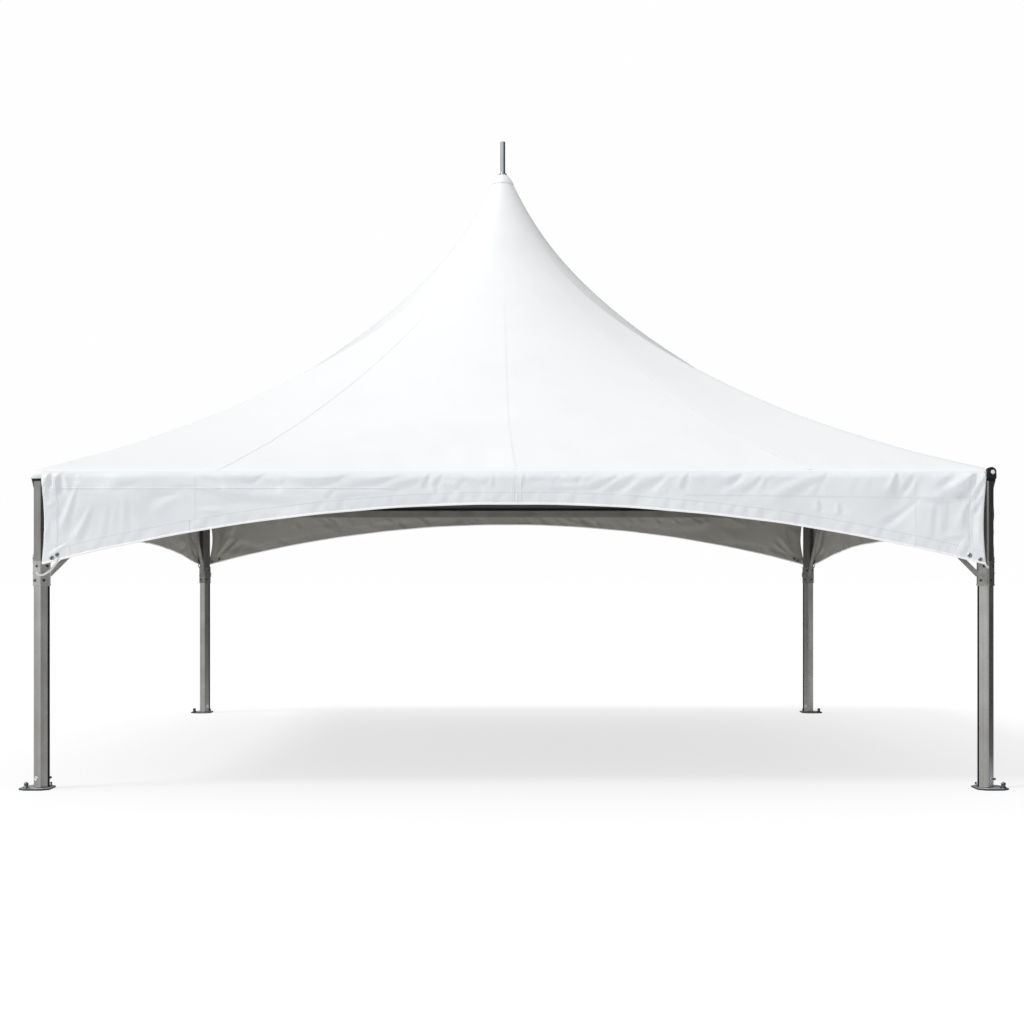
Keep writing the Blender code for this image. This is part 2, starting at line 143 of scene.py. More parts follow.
# Distances from the plan's middle to the legs' axes and to the eave's outer face, the eave's
# roll, the heights of its lip and of the front valance's ends, the mast's distance to one side
# and how that fades on the roof
LEG_AXIS = 3.05
EAVE_HALF = 3.12
ROLL_RADIUS = 0.030
LIP_Z = 2.0
FRONT_END_Z = 1.45
PEAK_SHIFT = -0.054
SHIFT_POWER = 6.0
# The cosine and the sine of 45 degrees, by which the legs are turned on their corners
COS_45 = math.sqrt(0.5)
# The way from which a side is lit, along it and up, and the slope of a fold of strength 1
LIGHT_SIDE = (-0.6, 0.8)
FOLD_SLOPE = 0.15
# The front valance's folds, read off the photograph from where each starts to where it runs out:
# x, y, x, y, bow and width in pixels, and strength
FRONT_FOLDS = (
    (50.5, 474, 47, 488, 0, 2.8, 3.2), (47, 488, 44.5, 497, 0, 2.2, 1.6), (50, 499, 47, 505, 0, 2.2, -1.0),
    (53, 506, 45, 507.5, 0, 1.8, 0.8), (47, 522, 45.5, 540, 0, 2.0, 0.8), (79, 472, 76, 478, 0, 2.0, -1.0),
    (61, 473, 57, 494, 1, 3.2, 2.6), (64, 474, 72, 486, 0, 3.5, 0.9), (138, 481, 113, 486, 0, 3.5, 0.9),
    (194, 485, 170, 486.5, 0, 2.5, 0.7), (202, 475, 226, 486, 1.5, 3.0, 0.8),
    (263, 475, 233, 476, -4.5, 3.2, 1.5), (266, 479, 282, 486, 0, 3.0, 0.8),
    (97, 490, 138, 518, 1, 6.0, 0.5), (179, 496, 150, 508, 1.5, 4.0, -0.9),
    (176, 493, 144, 493, -0.5, 2.5, 0.5), (205, 489, 245, 499, 0, 4.5, 1.0),
    (240, 498, 302, 501, 0, 5.0, 1.0), (198, 508, 235, 510, 0, 3.5, -0.6),
    (200, 511.5, 227, 513, 0, 2.5, 0.6), (73.5, 490, 57, 527, 0, 3.0, -1.2),
    (76, 492, 61, 531, 0, 3.0, 1.0), (88, 508, 68, 540, -1, 3.0, -0.9),
    (91, 512, 76, 542, 0, 3.2, 0.8), (109, 508, 104, 540, 0, 3.0, 0.45),
    (118, 506, 114, 538, 0, 3.2, 0.35), (127, 498, 127, 534, 0, 3.6, 0.4),
    (935, 478, 897, 532, 0, 14.0, -0.6), (60, 480, 100, 500, 0, 12.0, -0.3),
    (66, 543, 48, 556, 1, 2.0, -1.5), (62, 547, 50, 557, 0, 2.0, 1.4),
    (347, 475, 294, 480.5, -4, 3.4, 1.6), (308, 493, 284, 490.5, 0, 2.5, 0.5),
    (334, 489, 324, 499, 0, 2.8, 0.9), (405, 474, 347, 485.5, -1.5, 3.2, 1.1),
    (392, 477.5, 371, 484, 0, 2.4, 0.6), (373, 494.5, 334, 498.5, 1.5, 2.8, 0.8),
    (424, 479, 388, 487, -1, 3.5, 1.1), (429, 474, 422, 488, 0, 2.4, 1.6),
    (441, 475, 433, 486, 0, 2.4, 1.5), (435.5, 486, 434.5, 494, 0, 1.8, 0.7),
    (445, 484, 458, 489.5, 0, 2.6, 0.7), (467, 478.5, 455, 483, 0, 2.8, 0.8),
    (467, 478.5, 485, 485.5, 0, 3.0, 0.9), (494, 474, 493, 488, 0, 1.8, 0.8),
    (525, 472, 522, 487, 0, 1.7, 1.1), (542, 480, 527, 479, 0, 2.4, 0.9),
    (561, 475, 550, 484, 0, 2.6, 0.5), (582, 473, 572, 482.5, -1, 2.8, 0.8),
    (572, 482.5, 561, 479, 0, 2.6, 0.7), (596, 474, 583, 481, 0, 2.4, 0.6),
    (617, 475, 588, 487, -2, 3.0, 1.6), (590, 487.5, 543, 489.5, -0.5, 2.8, 0.9),
    (617, 478, 595, 490, -1, 2.6, -0.9), (637, 473, 604, 490, -2, 3.6, 1.3),
    (640, 480, 620, 493, 0, 2.6, -0.9), (665, 474, 632, 490, -1, 4.6, 1.0),
    (667, 477.5, 651, 492, 0, 2.8, -1.0), (669, 486, 666, 495, 0, 2.0, 0.6),
    (688.5, 472, 681, 490, 1, 2.6, 1.5), (705, 474, 700, 482, 0, 3.0, 0.4),
    (742, 472, 726, 482, -1, 3.4, 1.6), (742, 479, 718, 494.5, 0, 3.0, -0.9),
    (761, 476, 738, 491, -2, 3.4, 1.5), (766, 478, 761, 491, 0, 2.6, 0.7),
    (781, 473, 764, 480, 0, 2.6, 0.7), (809, 474.5, 766, 496, 1, 3.8, -0.9),
    (828, 472, 787, 493, -2, 3.2, 1.0), (828, 472, 812, 496, 1, 2.6, 0.8),
    (897, 470, 890, 493, -1, 2.8, 2.4), (913, 474, 900, 494, 0, 2.4, 1.2),
    (916, 478, 900, 500, -0.5, 3.4, -1.2), (956, 471, 936, 485, -1, 3.0, 1.0),
    (959, 478, 931, 497, 0, 3.0, -0.9), (976, 472, 954, 495, -1.5, 4.2, 4.0),
    (985, 476, 975.5, 494.5, 0, 2.0, 3.0), (982, 498, 976, 512, 0, 2.0, 2.6),
    (981, 482, 977, 546, 0, 2.6, -1.2), (957.5, 501.5, 921, 499.5, 0, 2.0, 1.3),
    (971, 501, 965.5, 529, 1.5, 3.4, 1.4), (916.5, 503, 881, 532, -1, 3.2, -0.9),
    (916.5, 500, 879, 525, -1, 3.2, 0.8), (818.5, 499, 818.5, 512, 0, 2.6, 0.8),
    (838, 503, 840.5, 514, 0, 2.6, 0.8), (858, 478, 848, 494, 0, 4.0, 0.3),
    (872, 478, 864, 492, 0, 4.0, 0.3), (934.5, 503, 932, 540, 0, 3.0, 0.6),
    (948, 505, 943, 540, 0, 4.0, 0.5), (969, 537, 944, 540.5, 1, 2.4, 1.2),
    (970.5, 532, 960, 550, 1, 2.0, -0.8),
)


def linear_rgba(code: str) -> tuple[float, float, float, float]:
    """Turn an sRGB hex colour into linear red, green, blue and alpha.

    Args:
        code: Six hex digits after a hash sign.

    Returns:
        The linear colour with an alpha of one.
    """
    channels = [int(code[i:i + 2], 16) / 255 for i in (1, 3, 5)]
    lit = [c / 12.92 if c <= 0.04045 else ((c + 0.055) / 1.055) ** 2.4 for c in channels]
    return (*lit, 1.0)


def feed(tree: NodeTree, node: Node, inputs: dict) -> None:
    """Set a node's inputs to values, or link them to sockets.

    Args:
        tree: The node's tree.
        node: The node.
        inputs: A value, a socket, or a node for its first output, by the input's name or number.
    """
    for key, value in inputs.items():
        if isinstance(value, (Node, NodeSocket)):
            socket = value.outputs[0] if isinstance(value, Node) else value
            tree.links.new(socket, node.inputs[key])
        else:
            node.inputs[key].default_value = value


def add_node(tree: NodeTree, kind: str, inputs: dict | None = None, **settings: object) -> Node:
    """Add a node with its settings and its inputs.

    Args:
        tree: The tree that gets the node.
        kind: The node's Blender type name.
        inputs: What feeds it.
        settings: Properties of the node.

    Returns:
        The new node.
    """
    node = tree.nodes.new(kind)
    for name, value in settings.items():
        setattr(node, name, value)
    feed(tree, node, inputs or {})
    return node


def link_object(name: str, data: ID, *finishes: Material) -> Object:
    """Link a mesh, a camera or a light to the scene as an object at the origin.

    Args:
        name: The object's name.
        data: What the object shows.
        finishes: The finishes that a mesh gets.

    Returns:
        The new object.
    """
    piece = bpy.data.objects.new(name, data)
    bpy.context.scene.collection.objects.link(piece)
    for finish in finishes:
        data.materials.append(finish)
    return piece


def mesh_from(name: str, points: Iterable, faces: Iterable = (), edges: Iterable = ()) -> Mesh:
    """Make a mesh from points with faces or edges.

    Args:
        name: The mesh's name.
        points: Its points.
        faces: The numbers of each face's points.
        edges: The numbers of each edge's points.

    Returns:
        The new mesh.
    """
    mesh = bpy.data.meshes.new(name)
    mesh.from_pydata([tuple(p) for p in points], [tuple(e) for e in edges], [tuple(f) for f in faces])
    mesh.update()
    return mesh


def grid_faces(rows: int, wide: int, start: int = 0, closed: bool = False, turned: bool = False
               ) -> list[tuple[int, ...]]:
    """Join rows of points into four-sided faces.

    Args:
        rows: How many rows of points there are.
        wide: How many points each row has.
        start: The number of the first point.
        closed: True where each row is a ring.
        turned: True to turn the faces over.

    Returns:
        The numbers of each face's points.
    """
    faces = []
    for row in range(rows - 1):
        for column in range(wide if closed else wide - 1):
            a = start + row * wide + column
            b = start + row * wide + (column + 1) % wide
            faces.append((a, a + wide, b + wide, b) if turned else (a, b, b + wide, a + wide))
    return faces


def chart_cloth(mesh: Mesh, flat: np.ndarray) -> None:
    """Store a cloth's flat chart, which its weave follows.

    Args:
        mesh: The cloth.
        flat: The place of each of its points on the flat cloth.
    """
    loops = np.zeros(len(mesh.loops), int)
    mesh.loops.foreach_get("vertex_index", loops)
    mesh.uv_layers.new(name="cloth").data.foreach_set("uv", flat[loops].ravel())


def store_ways(mesh: Mesh, name: str, ways: list) -> None:
    """Store a direction at each of a mesh's points, for its tree to read by name."""
    stored = mesh.attributes.new(name, "FLOAT_VECTOR", "POINT")
    stored.data.foreach_set("vector", np.array(ways, np.float32).ravel())


def face_outward(mesh: Mesh) -> Mesh:
    """Merge a closed mesh's doubles and turn its faces outward.

    Args:
        mesh: The mesh, changed in place.

    Returns:
        The same mesh.
    """
    shape = bmesh.new()
    shape.from_mesh(mesh)
    bmesh.ops.remove_doubles(shape, verts=shape.verts, dist=0.02 * MM)
    bmesh.ops.recalc_face_normals(shape, faces=shape.faces)
    shape.to_mesh(mesh)
    shape.free()
    return mesh


def turned_mesh(name: str, profile: Profile, steps: int) -> Mesh:
    """Turn a profile about the vertical axis, closed at both ends.

    Args:
        name: The mesh's name.
        profile: Radius and height of each point in millimetres, from one end to the other.
        steps: How many sides the turned shape has.

    Returns:
        A closed mesh with outward faces.
    """
    shape = bmesh.new()
    rings = []
    for wide, tall in profile:
        radius, height = wide * MM, tall * MM
        ring = []
        for step in range(steps if radius > 0 else 1):
            angle = 2 * math.pi * step / steps
            ring.append(shape.verts.new((radius * math.cos(angle), radius * math.sin(angle), height)))
        rings.append(ring)
    for low, high in zip(rings, rings[1:]):
        for step in range(steps):
            after = (step + 1) % steps
            around = [low[step % len(low)], low[after % len(low)],
                      high[after % len(high)], high[step % len(high)]]
            shape.faces.new(list(dict.fromkeys(around)))
    for ring in (rings[0], rings[-1]):
        if len(ring) > 1:
            shape.faces.new(ring)
    bmesh.ops.recalc_face_normals(shape, faces=shape.faces)
    mesh = bpy.data.meshes.new(name)
    shape.to_mesh(mesh)
    shape.free()
    return mesh


def smooth_step(low: float, high: float, value: np.ndarray) -> np.ndarray:
    """Rise smoothly from 0 at low to 1 at high."""
    share = np.clip((value - low) / (high - low), 0.0, 1.0)
    return share * share * (3 - 2 * share)


def level_way(quarters: float) -> np.ndarray:
    """Return the level direction at a number of quarter turns from the x axis."""
    angle = quarters * math.pi / 2
    return np.array([math.cos(angle), math.sin(angle), 0.0])


@dataclass(frozen=True)
class Finish:
    """A material that starts from what the real one is."""

    name: str
    colour: str
    roughness: float
    metallic: float = 0.0

    def start(self) -> tuple[Material, NodeTree, Node, NodeSocket]:
        """Make the material with its shader set to the plain values.

        Returns:
            The material, its tree, its shader and the object's own coordinates.
        """
        material = bpy.data.materials.new(self.name)
        material.use_nodes = True
        tree = material.node_tree
        shader = tree.nodes["Principled BSDF"]
        feed(tree, shader, {"Base Color": linear_rgba(self.colour), "Roughness": self.roughness,
                            "Metallic": self.metallic})
        return material, tree, shader, add_node(tree, "ShaderNodeTexCoord").outputs["Object"]

    def vary(self, tree: NodeTree, shader: Node, source: Node | NodeSocket, other: str,
             spread: float, relief: Node | NodeSocket, strength: float, depth: float) -> Node:
        """Let one pattern move the colour and the roughness, and another raise the surface.

        Args:
            tree: The material's tree.
            shader: Its Principled shader.
            source: The pattern of the tone, from 0 to 1.
            other: The colour at 1, as hex.
            spread: How far the roughness goes each way.
            relief: The pattern of the bump.
            strength: How strong the bump is.
            depth: How high the bump is, in metres.

        Returns:
            The bump's node.
        """
        blend = add_node(tree, "ShaderNodeMix", {0: source, 6: linear_rgba(self.colour),
                                                 7: linear_rgba(other)}, data_type="RGBA")
        rough = add_node(tree, "ShaderNodeMapRange", {
            "Value": source, "To Min": self.roughness - spread, "To Max": self.roughness + spread})
        bump = add_node(tree, "ShaderNodeBump", {
            "Height": relief, "Strength": strength, "Distance": depth})
        feed(tree, shader, {"Base Color": blend.outputs[2], "Roughness": rough, "Normal": bump})
        return bump


@dataclass(frozen=True)
class CoatedFabric(Finish):
    """PVC coated polyester: a smooth, faintly glossy skin over a plain weave.

    The base cloth's threads are 0.5 mm apart, too fine to show, so the weave is drawn at 5 mm.
    """

    soiled: str = "#eff1f3"
    weave: float = 5.0

    def build(self) -> Material:
        """Make and return the material: cloudy tone, weave and handling marks in the bump."""
        material, tree, shader, place = self.start()
        cloud = add_node(tree, "ShaderNodeTexNoise", {
            "Vector": place, "Scale": 1.6, "Detail": 5.0, "Roughness": 0.62})
        tone = add_node(tree, "ShaderNodeMapRange", {
            "Value": cloud, "From Min": 0.40, "From Max": 0.75})
        chart = add_node(tree, "ShaderNodeUVMap", uv_map="cloth")
        threads = []
        for direction in ("X", "Y"):
            threads.append(add_node(tree, "ShaderNodeTexWave", {
                "Vector": chart, "Scale": 0.314 / (self.weave * MM), "Distortion": 0.0},
                bands_direction=direction).outputs["Fac"])
        weave = add_node(tree, "ShaderNodeMath", {0: threads[0], 1: threads[1]}, operation="MULTIPLY")
        marks = add_node(tree, "ShaderNodeTexNoise", {
            "Vector": place, "Scale": 9.0, "Detail": 6.0, "Roughness": 0.55})
        woven = add_node(tree, "ShaderNodeBump", {
            "Height": weave, "Strength": 0.12, "Distance": 0.25 * MM})
        bump = self.vary(tree, shader, tone, self.soiled, 0.05, marks, 0.30, 3.0 * MM)
        feed(tree, bump, {"Normal": woven})
        feed(tree, shader, {"Specular IOR Level": 0.35})
        return material


@dataclass(frozen=True)
class ExtrudedAluminium(Finish):
    """Mill finish extrusion: soft drawn lines, dull patches where hands have been.

    Real die lines are under 1 mm apart, too fine to show, so they are drawn 10 mm apart.
    """

    dulled: str = "#8e8d88"
    grain: Grain = Grain.UPRIGHT

    def build(self) -> Material:
        """Make and return the material: die lines along the bar in tone, roughness and bump."""
        material, tree, shader, place = self.start()
        drawn = add_node(tree, "ShaderNodeMapping", {"Vector": place, "Scale": self.grain.value})
        lines = add_node(tree, "ShaderNodeTexNoise", {
            "Vector": drawn, "Scale": 1.0, "Detail": 4.0, "Roughness": 0.6})
        patches = add_node(tree, "ShaderNodeTexNoise", {
            "Vector": place, "Scale": 4.0, "Detail": 3.0, "Roughness": 0.55})
        mixed = add_node(tree, "ShaderNodeMath", {0: lines, 1: patches}, operation="ADD")
        tone = add_node(tree, "ShaderNodeMapRange", {
            "Value": mixed, "From Min": 0.75, "From Max": 1.30})
        self.vary(tree, shader, tone, self.dulled, 0.07, lines, 0.15, 0.3 * MM)
        return material


@dataclass(frozen=True)
class CastMetal(Finish):
    """Sand cast or forged metal: a soft grain with darker pits.

    The sand's grain is 0.5 mm, too fine to show, so it is drawn at 6 mm.
    """

    pitted: str = "#b9b8b4"
    grain: float = 6.0

    def build(self) -> Material:
        """Make and return the material: sand grain and pits in tone and bump."""
        material, tree, shader, place = self.start()
        sand = add_node(tree, "ShaderNodeTexNoise", {
            "Vector": place, "Scale": 1.0 / (self.grain * MM), "Detail": 3.0})
        patches = add_node(tree, "ShaderNodeTexNoise", {
            "Vector": place, "Scale": 22.0, "Detail": 5.0, "Roughness": 0.7})
        tone = add_node(tree, "ShaderNodeMapRange", {
            "Value": patches, "From Min": 0.38, "From Max": 0.70})
        self.vary(tree, shader, tone, self.pitted, 0.10, sand, 0.20, 0.5 * MM)
        return material


@dataclass(frozen=True)
class ZincPlate(Finish):
    """Zinc plated steel: a dull spangle of 15 mm with scuffs.

    Where edge is set, it is painted on the faces that don't look up: a painted shade on the sides.
    """

    scuffed: str = "#45494c"
    edge: str | None = None

    def build(self) -> Material:
        """Make and return the material: spangle and scuffs in tone and roughness."""
        material, tree, shader, place = self.start()
        spangle = add_node(tree, "ShaderNodeTexVoronoi", {"Vector": place, "Scale": 66.0})
        scuffs = add_node(tree, "ShaderNodeTexNoise", {
            "Vector": place, "Scale": 40.0, "Detail": 7.0, "Roughness": 0.7})
        mixed = add_node(tree, "ShaderNodeMath", {0: spangle, 1: scuffs}, operation="MULTIPLY")
        tone = add_node(tree, "ShaderNodeMapRange", {
            "Value": mixed, "From Min": 0.05, "From Max": 0.45})
        self.vary(tree, shader, tone, self.scuffed, 0.09, scuffs, 0.2, 0.3 * MM)
        # The faces that don't look up get the edge colour, a painted shade
        if self.edge:
            facing = add_node(tree, "ShaderNodeNewGeometry").outputs["Normal"]
            parts = add_node(tree, "ShaderNodeSeparateXYZ", {0: facing})
            upward = add_node(tree, "ShaderNodeMapRange", {
                "Value": parts.outputs[2], "From Min": 0.4, "From Max": 0.8})
            top = shader.inputs["Base Color"].links[0].from_socket
            blend = add_node(tree, "ShaderNodeMix", {0: upward, 6: linear_rgba(self.edge),
                                                     7: top}, data_type="RGBA")
            feed(tree, shader, {"Base Color": blend.outputs[2]})
        return material


@dataclass(frozen=True)
class PowderCoat(Finish):
    """Black powder coat: a satin skin with the fine dimples of orange peel."""

    worn: str = "#222325"

    def build(self) -> Material:
        """Make and return the material: dimples 1.5 mm across and a slightly uneven shine."""
        material, tree, shader, place = self.start()
        peel = add_node(tree, "ShaderNodeTexNoise", {"Vector": place, "Scale": 650.0, "Detail": 2.0})
        wear = add_node(tree, "ShaderNodeTexNoise", {"Vector": place, "Scale": 25.0, "Detail": 5.0})
        self.vary(tree, shader, wear, self.worn, 0.08, peel, 0.2, 0.2 * MM)
        feed(tree, shader, {"IOR": 1.25})
        return material


@dataclass(frozen=True)
class Webbing(Finish):
    """Woven polyester webbing and thread: ribs 2 mm apart, matt."""

    shaded: str = "#c3c4c2"

    def build(self) -> Material:
        """Make and return the material: ribs across the tape in tone and bump."""
        material, tree, shader, place = self.start()
        ribs = add_node(tree, "ShaderNodeTexWave", {
            "Vector": place, "Scale": 0.314 / (2.0 * MM), "Distortion": 1.0},
            bands_direction="DIAGONAL")
        self.vary(tree, shader, ribs.outputs["Fac"], self.shaded, 0.05, ribs.outputs["Fac"], 0.3,
                  0.4 * MM)
        return material


@dataclass
class Workshop:
    """All finishes, and the Geometry Nodes trees that make what repeats.

    Attributes:
        finishes: Every material by its name.
        trees: Every Geometry Nodes tree by its short name.
    """

    finishes: dict[str, Material] = field(default_factory=dict)
    trees: dict[str, NodeTree] = field(default_factory=dict)

    def stock(self) -> None:
        """Make every finish and every tree."""
        for finish in (
            # White block-out PVC, taut: bright, faintly blue
            CoatedFabric("roof_pvc_coated_polyester", "#f4f6f8", 0.42),
            # The same cloth hanging, painted slightly greyer than the roof: a painted shade for its
            # upright faces, which take less light
            CoatedFabric("valance_pvc_coated_polyester", "#ecf0f3", 0.42, soiled="#e5e8ec"),
            # The hems' rolled edges are painted whiter than any cloth on the tent: a painted highlight
            # along the edge that catches the light
            CoatedFabric("hem_piping_pvc", "#fdfdfd", 0.36, soiled="#f7f8f9"),
            # The valances' and the cap's inner face: a warm grey block-out coat, painted darker than the
            # lit cloth would look, as a painted shade for the inside
            CoatedFabric("grey_block_out_coating", "#a9a69f", 0.55, soiled="#9d9a92"),
            # The roof's lining: a dark grey, a painted shade for the deep shadow under the roof
            CoatedFabric("dark_block_out_lining", "#565450", 0.60, soiled="#4c4a47"),
            # Mill finish legs: mid grey with long soft lines
            ExtrudedAluminium("mill_finish_leg_extrusion", "#c8c8c6", 0.30, 1.0, dulled="#aaa9a5"),
            # The upper posts: the same extrusion painted a darker grey, a painted shade for their place in
            # the valances' shadow
            ExtrudedAluminium("anodised_post_extrusion", "#9e9e9c", 0.30, 1.0, dulled="#868582"),
            # Eave beams: the same extrusion lying down, so its lines run level, painted darker than the
            # legs as a painted shade under the roof
            ExtrudedAluminium("mill_finish_beam_along_x", "#b2b1ae", 0.40, 1.0, grain=Grain.ALONG_X),
            ExtrudedAluminium("mill_finish_beam_along_y", "#b2b1ae", 0.40, 1.0, grain=Grain.ALONG_Y),
            # The spike is smooth and bright, with hardly a line
            ExtrudedAluminium("polished_spike_rod", "#c3c9cd", 0.18, 1.0, dulled="#a7adb2"),
            # Braces: tumbled flat bar, with an even grain in place of lines
            ExtrudedAluminium("tumbled_brace_bar", "#a9a8a4", 0.42, 1.0, grain=Grain.TUMBLED),
            # Sand cast collars: smoother and paler than the extrusions
            CastMetal("sand_cast_aluminium", "#d2d2cf", 0.40, 1.0),
            # The other collars: the same casting painted greyer, a painted shade for those that the light
            # reaches less
            CastMetal("weathered_cast_aluminium", "#a2a29f", 0.42, 1.0, pitted="#858481"),
            # Forged anchors: dark with a bluish shine
            CastMetal("blued_anchor_steel", "#787d82", 0.32, 1.0, pitted="#404448"),
            # Foot plates: pale tops over sides painted dark, a painted shade on the faces that don't look
            # up
            ZincPlate("zinc_plated_plate", "#dadcdd", 0.45, 0.35, scuffed="#a4a7a9", edge="#2b2d2f"),
            # The pins' rings and the corner bolts: near-white and only half metal, a painted highlight for
            # the glint they catch
            ZincPlate("polished_steel_ring", "#f0f1f1", 0.30, 0.45, scuffed="#dcdedf"),
            # The collars' bolts have dulled, the braces' bolts and the grommets are newer
            ZincPlate("dull_zinc_fixing", "#73787b", 0.40, 1.0),
            ZincPlate("bright_zinc_fixing", "#b9bdc0", 0.30, 1.0, scuffed="#8b8f92"),
            # Wire rope: dull grey, so that its strands show by their shade
            ZincPlate("galvanised_wire", "#9a9d9f", 0.42, 1.0, scuffed="#6f7274"),
            # Corner castings, hoods and dark straps: black with a soft sheen
            PowderCoat("black_powder_coat", "#141518", 0.38),
            # Ties are off-white and matt, the thread a grey that marks the hem
            Webbing("polyester_webbing", "#e4e4e1", 0.75),
            Webbing("grey_bonded_thread", "#b6b9bd", 0.70, shaded="#a4a8ac"),
        ):
            self.finishes[finish.name] = finish.build()
        self.trees = {
            "strip": strip_tree(), "stitches": stitch_tree(), "fixings": fixing_tree(),
            "rope": rope_tree(), "roof": roof_tree(),
        }

    def run(self, tree_name: str, source: Mesh, finish: str, name: str, **values: object) -> Object:
        """Run a Geometry Nodes tree on a mesh and keep the result as a plain mesh.

        Args:
            tree_name: Which of the workshop's trees.
            source: The mesh that the tree works on.
            finish: The finish that its Set Material gets.
            name: The new piece's name.
            values: The tree's other inputs, by name with low lines for spaces.

        Returns:
            The new piece.
        """
        tree = self.trees[tree_name]
        carrier = link_object(f"{name}_carrier", source)
        modifier = carrier.modifiers.new(tree_name, "NODES")
        modifier.node_group = tree
        values = {key.replace("_", " "): value for key, value in values.items()}
        values["material"] = self.finishes[finish]
        for item in tree.interface.items_tree:
            if item.item_type == "SOCKET" and item.in_out == "INPUT" and item.name in values:
                modifier[item.identifier] = values[item.name]
        bpy.context.view_layer.update()
        depsgraph = bpy.context.evaluated_depsgraph_get()
        mesh = bpy.data.meshes.new_from_object(carrier.evaluated_get(depsgraph))
        bpy.data.objects.remove(carrier)
        for old in list(mesh.attributes):
            if old.name in ("surface_normal", "facing"):
                mesh.attributes.remove(old)
        mesh.name = name
        return link_object(name, mesh)

    def strip(self, name: str, lines: list[Line], finish: str, width: float, thickness: float,
              sides: int = 8, flat: bool = False, closed: bool = False) -> Object:
        """Sweep a flat or round strip along lines on a surface.

        Args:
            name: The piece's name.
            lines: The points of each line, and the surface's normals there.
            finish: The strip's finish.
            width: Its width along the surface.
            thickness: Its size along the surface's normal.
            sides: How many sides a round strip has.
            flat: True for a rectangular section.
            closed: True where each line is a loop.

        Returns:
            The new piece.
        """
        return self.run("strip", polyline_mesh(name, lines, closed), finish, name, width=width,
                        thickness=thickness, sides=sides, flat=flat)

    def fixings(self, name: str, part: Mesh, places: list[tuple], finish: str) -> Object:
        """Set a small turned part at many places.

        Args:
            name: The piece's name.
            part: The part's mesh, standing on its own origin.
            places: Point and outward direction of each.
            finish: The part's finish.

        Returns:
            The new piece.
        """
        source = mesh_from(name, [p for p, _ in places])
        store_ways(source, "facing", [tuple(d) for _, d in places])
        pattern = link_object(f"{name}_pattern", part)
        piece = self.run("fixings", source, finish, name, part=pattern)
        bpy.data.objects.remove(pattern)
        return piece


def polyline_mesh(name: str, lines: list[Line], closed: bool) -> Mesh:
    """Make a mesh of separate lines with the surface normal stored at each point.

    Args:
        name: The mesh's name.
        lines: The points and normals of each line.
        closed: True where the last point joins the first.

    Returns:
        A mesh of edges with the attribute surface_normal.
    """
    points, normals, edges = [], [], []
    for line, normal in lines:
        start, count = len(points), len(line)
        points += list(line)
        normals += list(np.broadcast_to(normal, np.shape(line)))
        edges += [(start + i, start + i + 1) for i in range(count - 1)]
        if closed:
            edges.append((start + count - 1, start))
    mesh = mesh_from(name, points, edges=edges)
    store_ways(mesh, "surface_normal", normals)
    return mesh


def new_tree(name: str, inputs: dict[str, tuple[str, object]]) -> tuple[NodeTree, Node]:
    """Make an empty Geometry Nodes tree with named inputs.

    Args:
        name: The tree's name.
        inputs: Socket type and first value of each input.

    Returns:
        The tree and its input node.
    """
    tree = bpy.data.node_groups.new(name, "GeometryNodeTree")
    tree.interface.new_socket("geometry", in_out="INPUT", socket_type="NodeSocketGeometry")
    tree.interface.new_socket("geometry", in_out="OUTPUT", socket_type="NodeSocketGeometry")
    for key, (kind, value) in {**inputs, "material": ("NodeSocketMaterial", None)}.items():
        socket = tree.interface.new_socket(key, in_out="INPUT", socket_type=kind)
        if value is not None:
            socket.default_value = value
    return tree, tree.nodes.new("NodeGroupInput")


def end_tree(tree: NodeTree, start: Node, result: Node, smooth: bool | Node = True) -> NodeTree:
    """End a tree with realised instances, its shading and the material.

    Args:
        tree: The tree.
        start: Its input node.
        result: The geometry that it has made.
        smooth: Whether its faces are shaded smooth.

    Returns:
        The same tree.
    """
    real = add_node(tree, "GeometryNodeRealizeInstances", {"Geometry": result})
    shade = add_node(tree, "GeometryNodeSetShadeSmooth", {"Geometry": real, "Shade Smooth": smooth})
    finish = add_node(tree, "GeometryNodeSetMaterial", {
        "Geometry": shade, "Material": start.outputs["material"]})
    add_node(tree, "NodeGroupOutput", {0: finish})
    return tree


def solve(tree: NodeTree, sockets: dict[str, Node | NodeSocket], *steps: tuple) -> None:
    """Add one Math node for each step of a rule, and keep its result by name.

    Args:
        tree: The tree.
        sockets: What is known so far by name, to which each result is added.
        steps: Name, operation and terms of each step; a term is a number or a name.
    """
    for name, operation, *terms in steps:
        values = {i: sockets[t] if isinstance(t, str) else t for i, t in enumerate(terms)}
        sockets[name] = add_node(tree, "ShaderNodeMath", values, operation=operation)


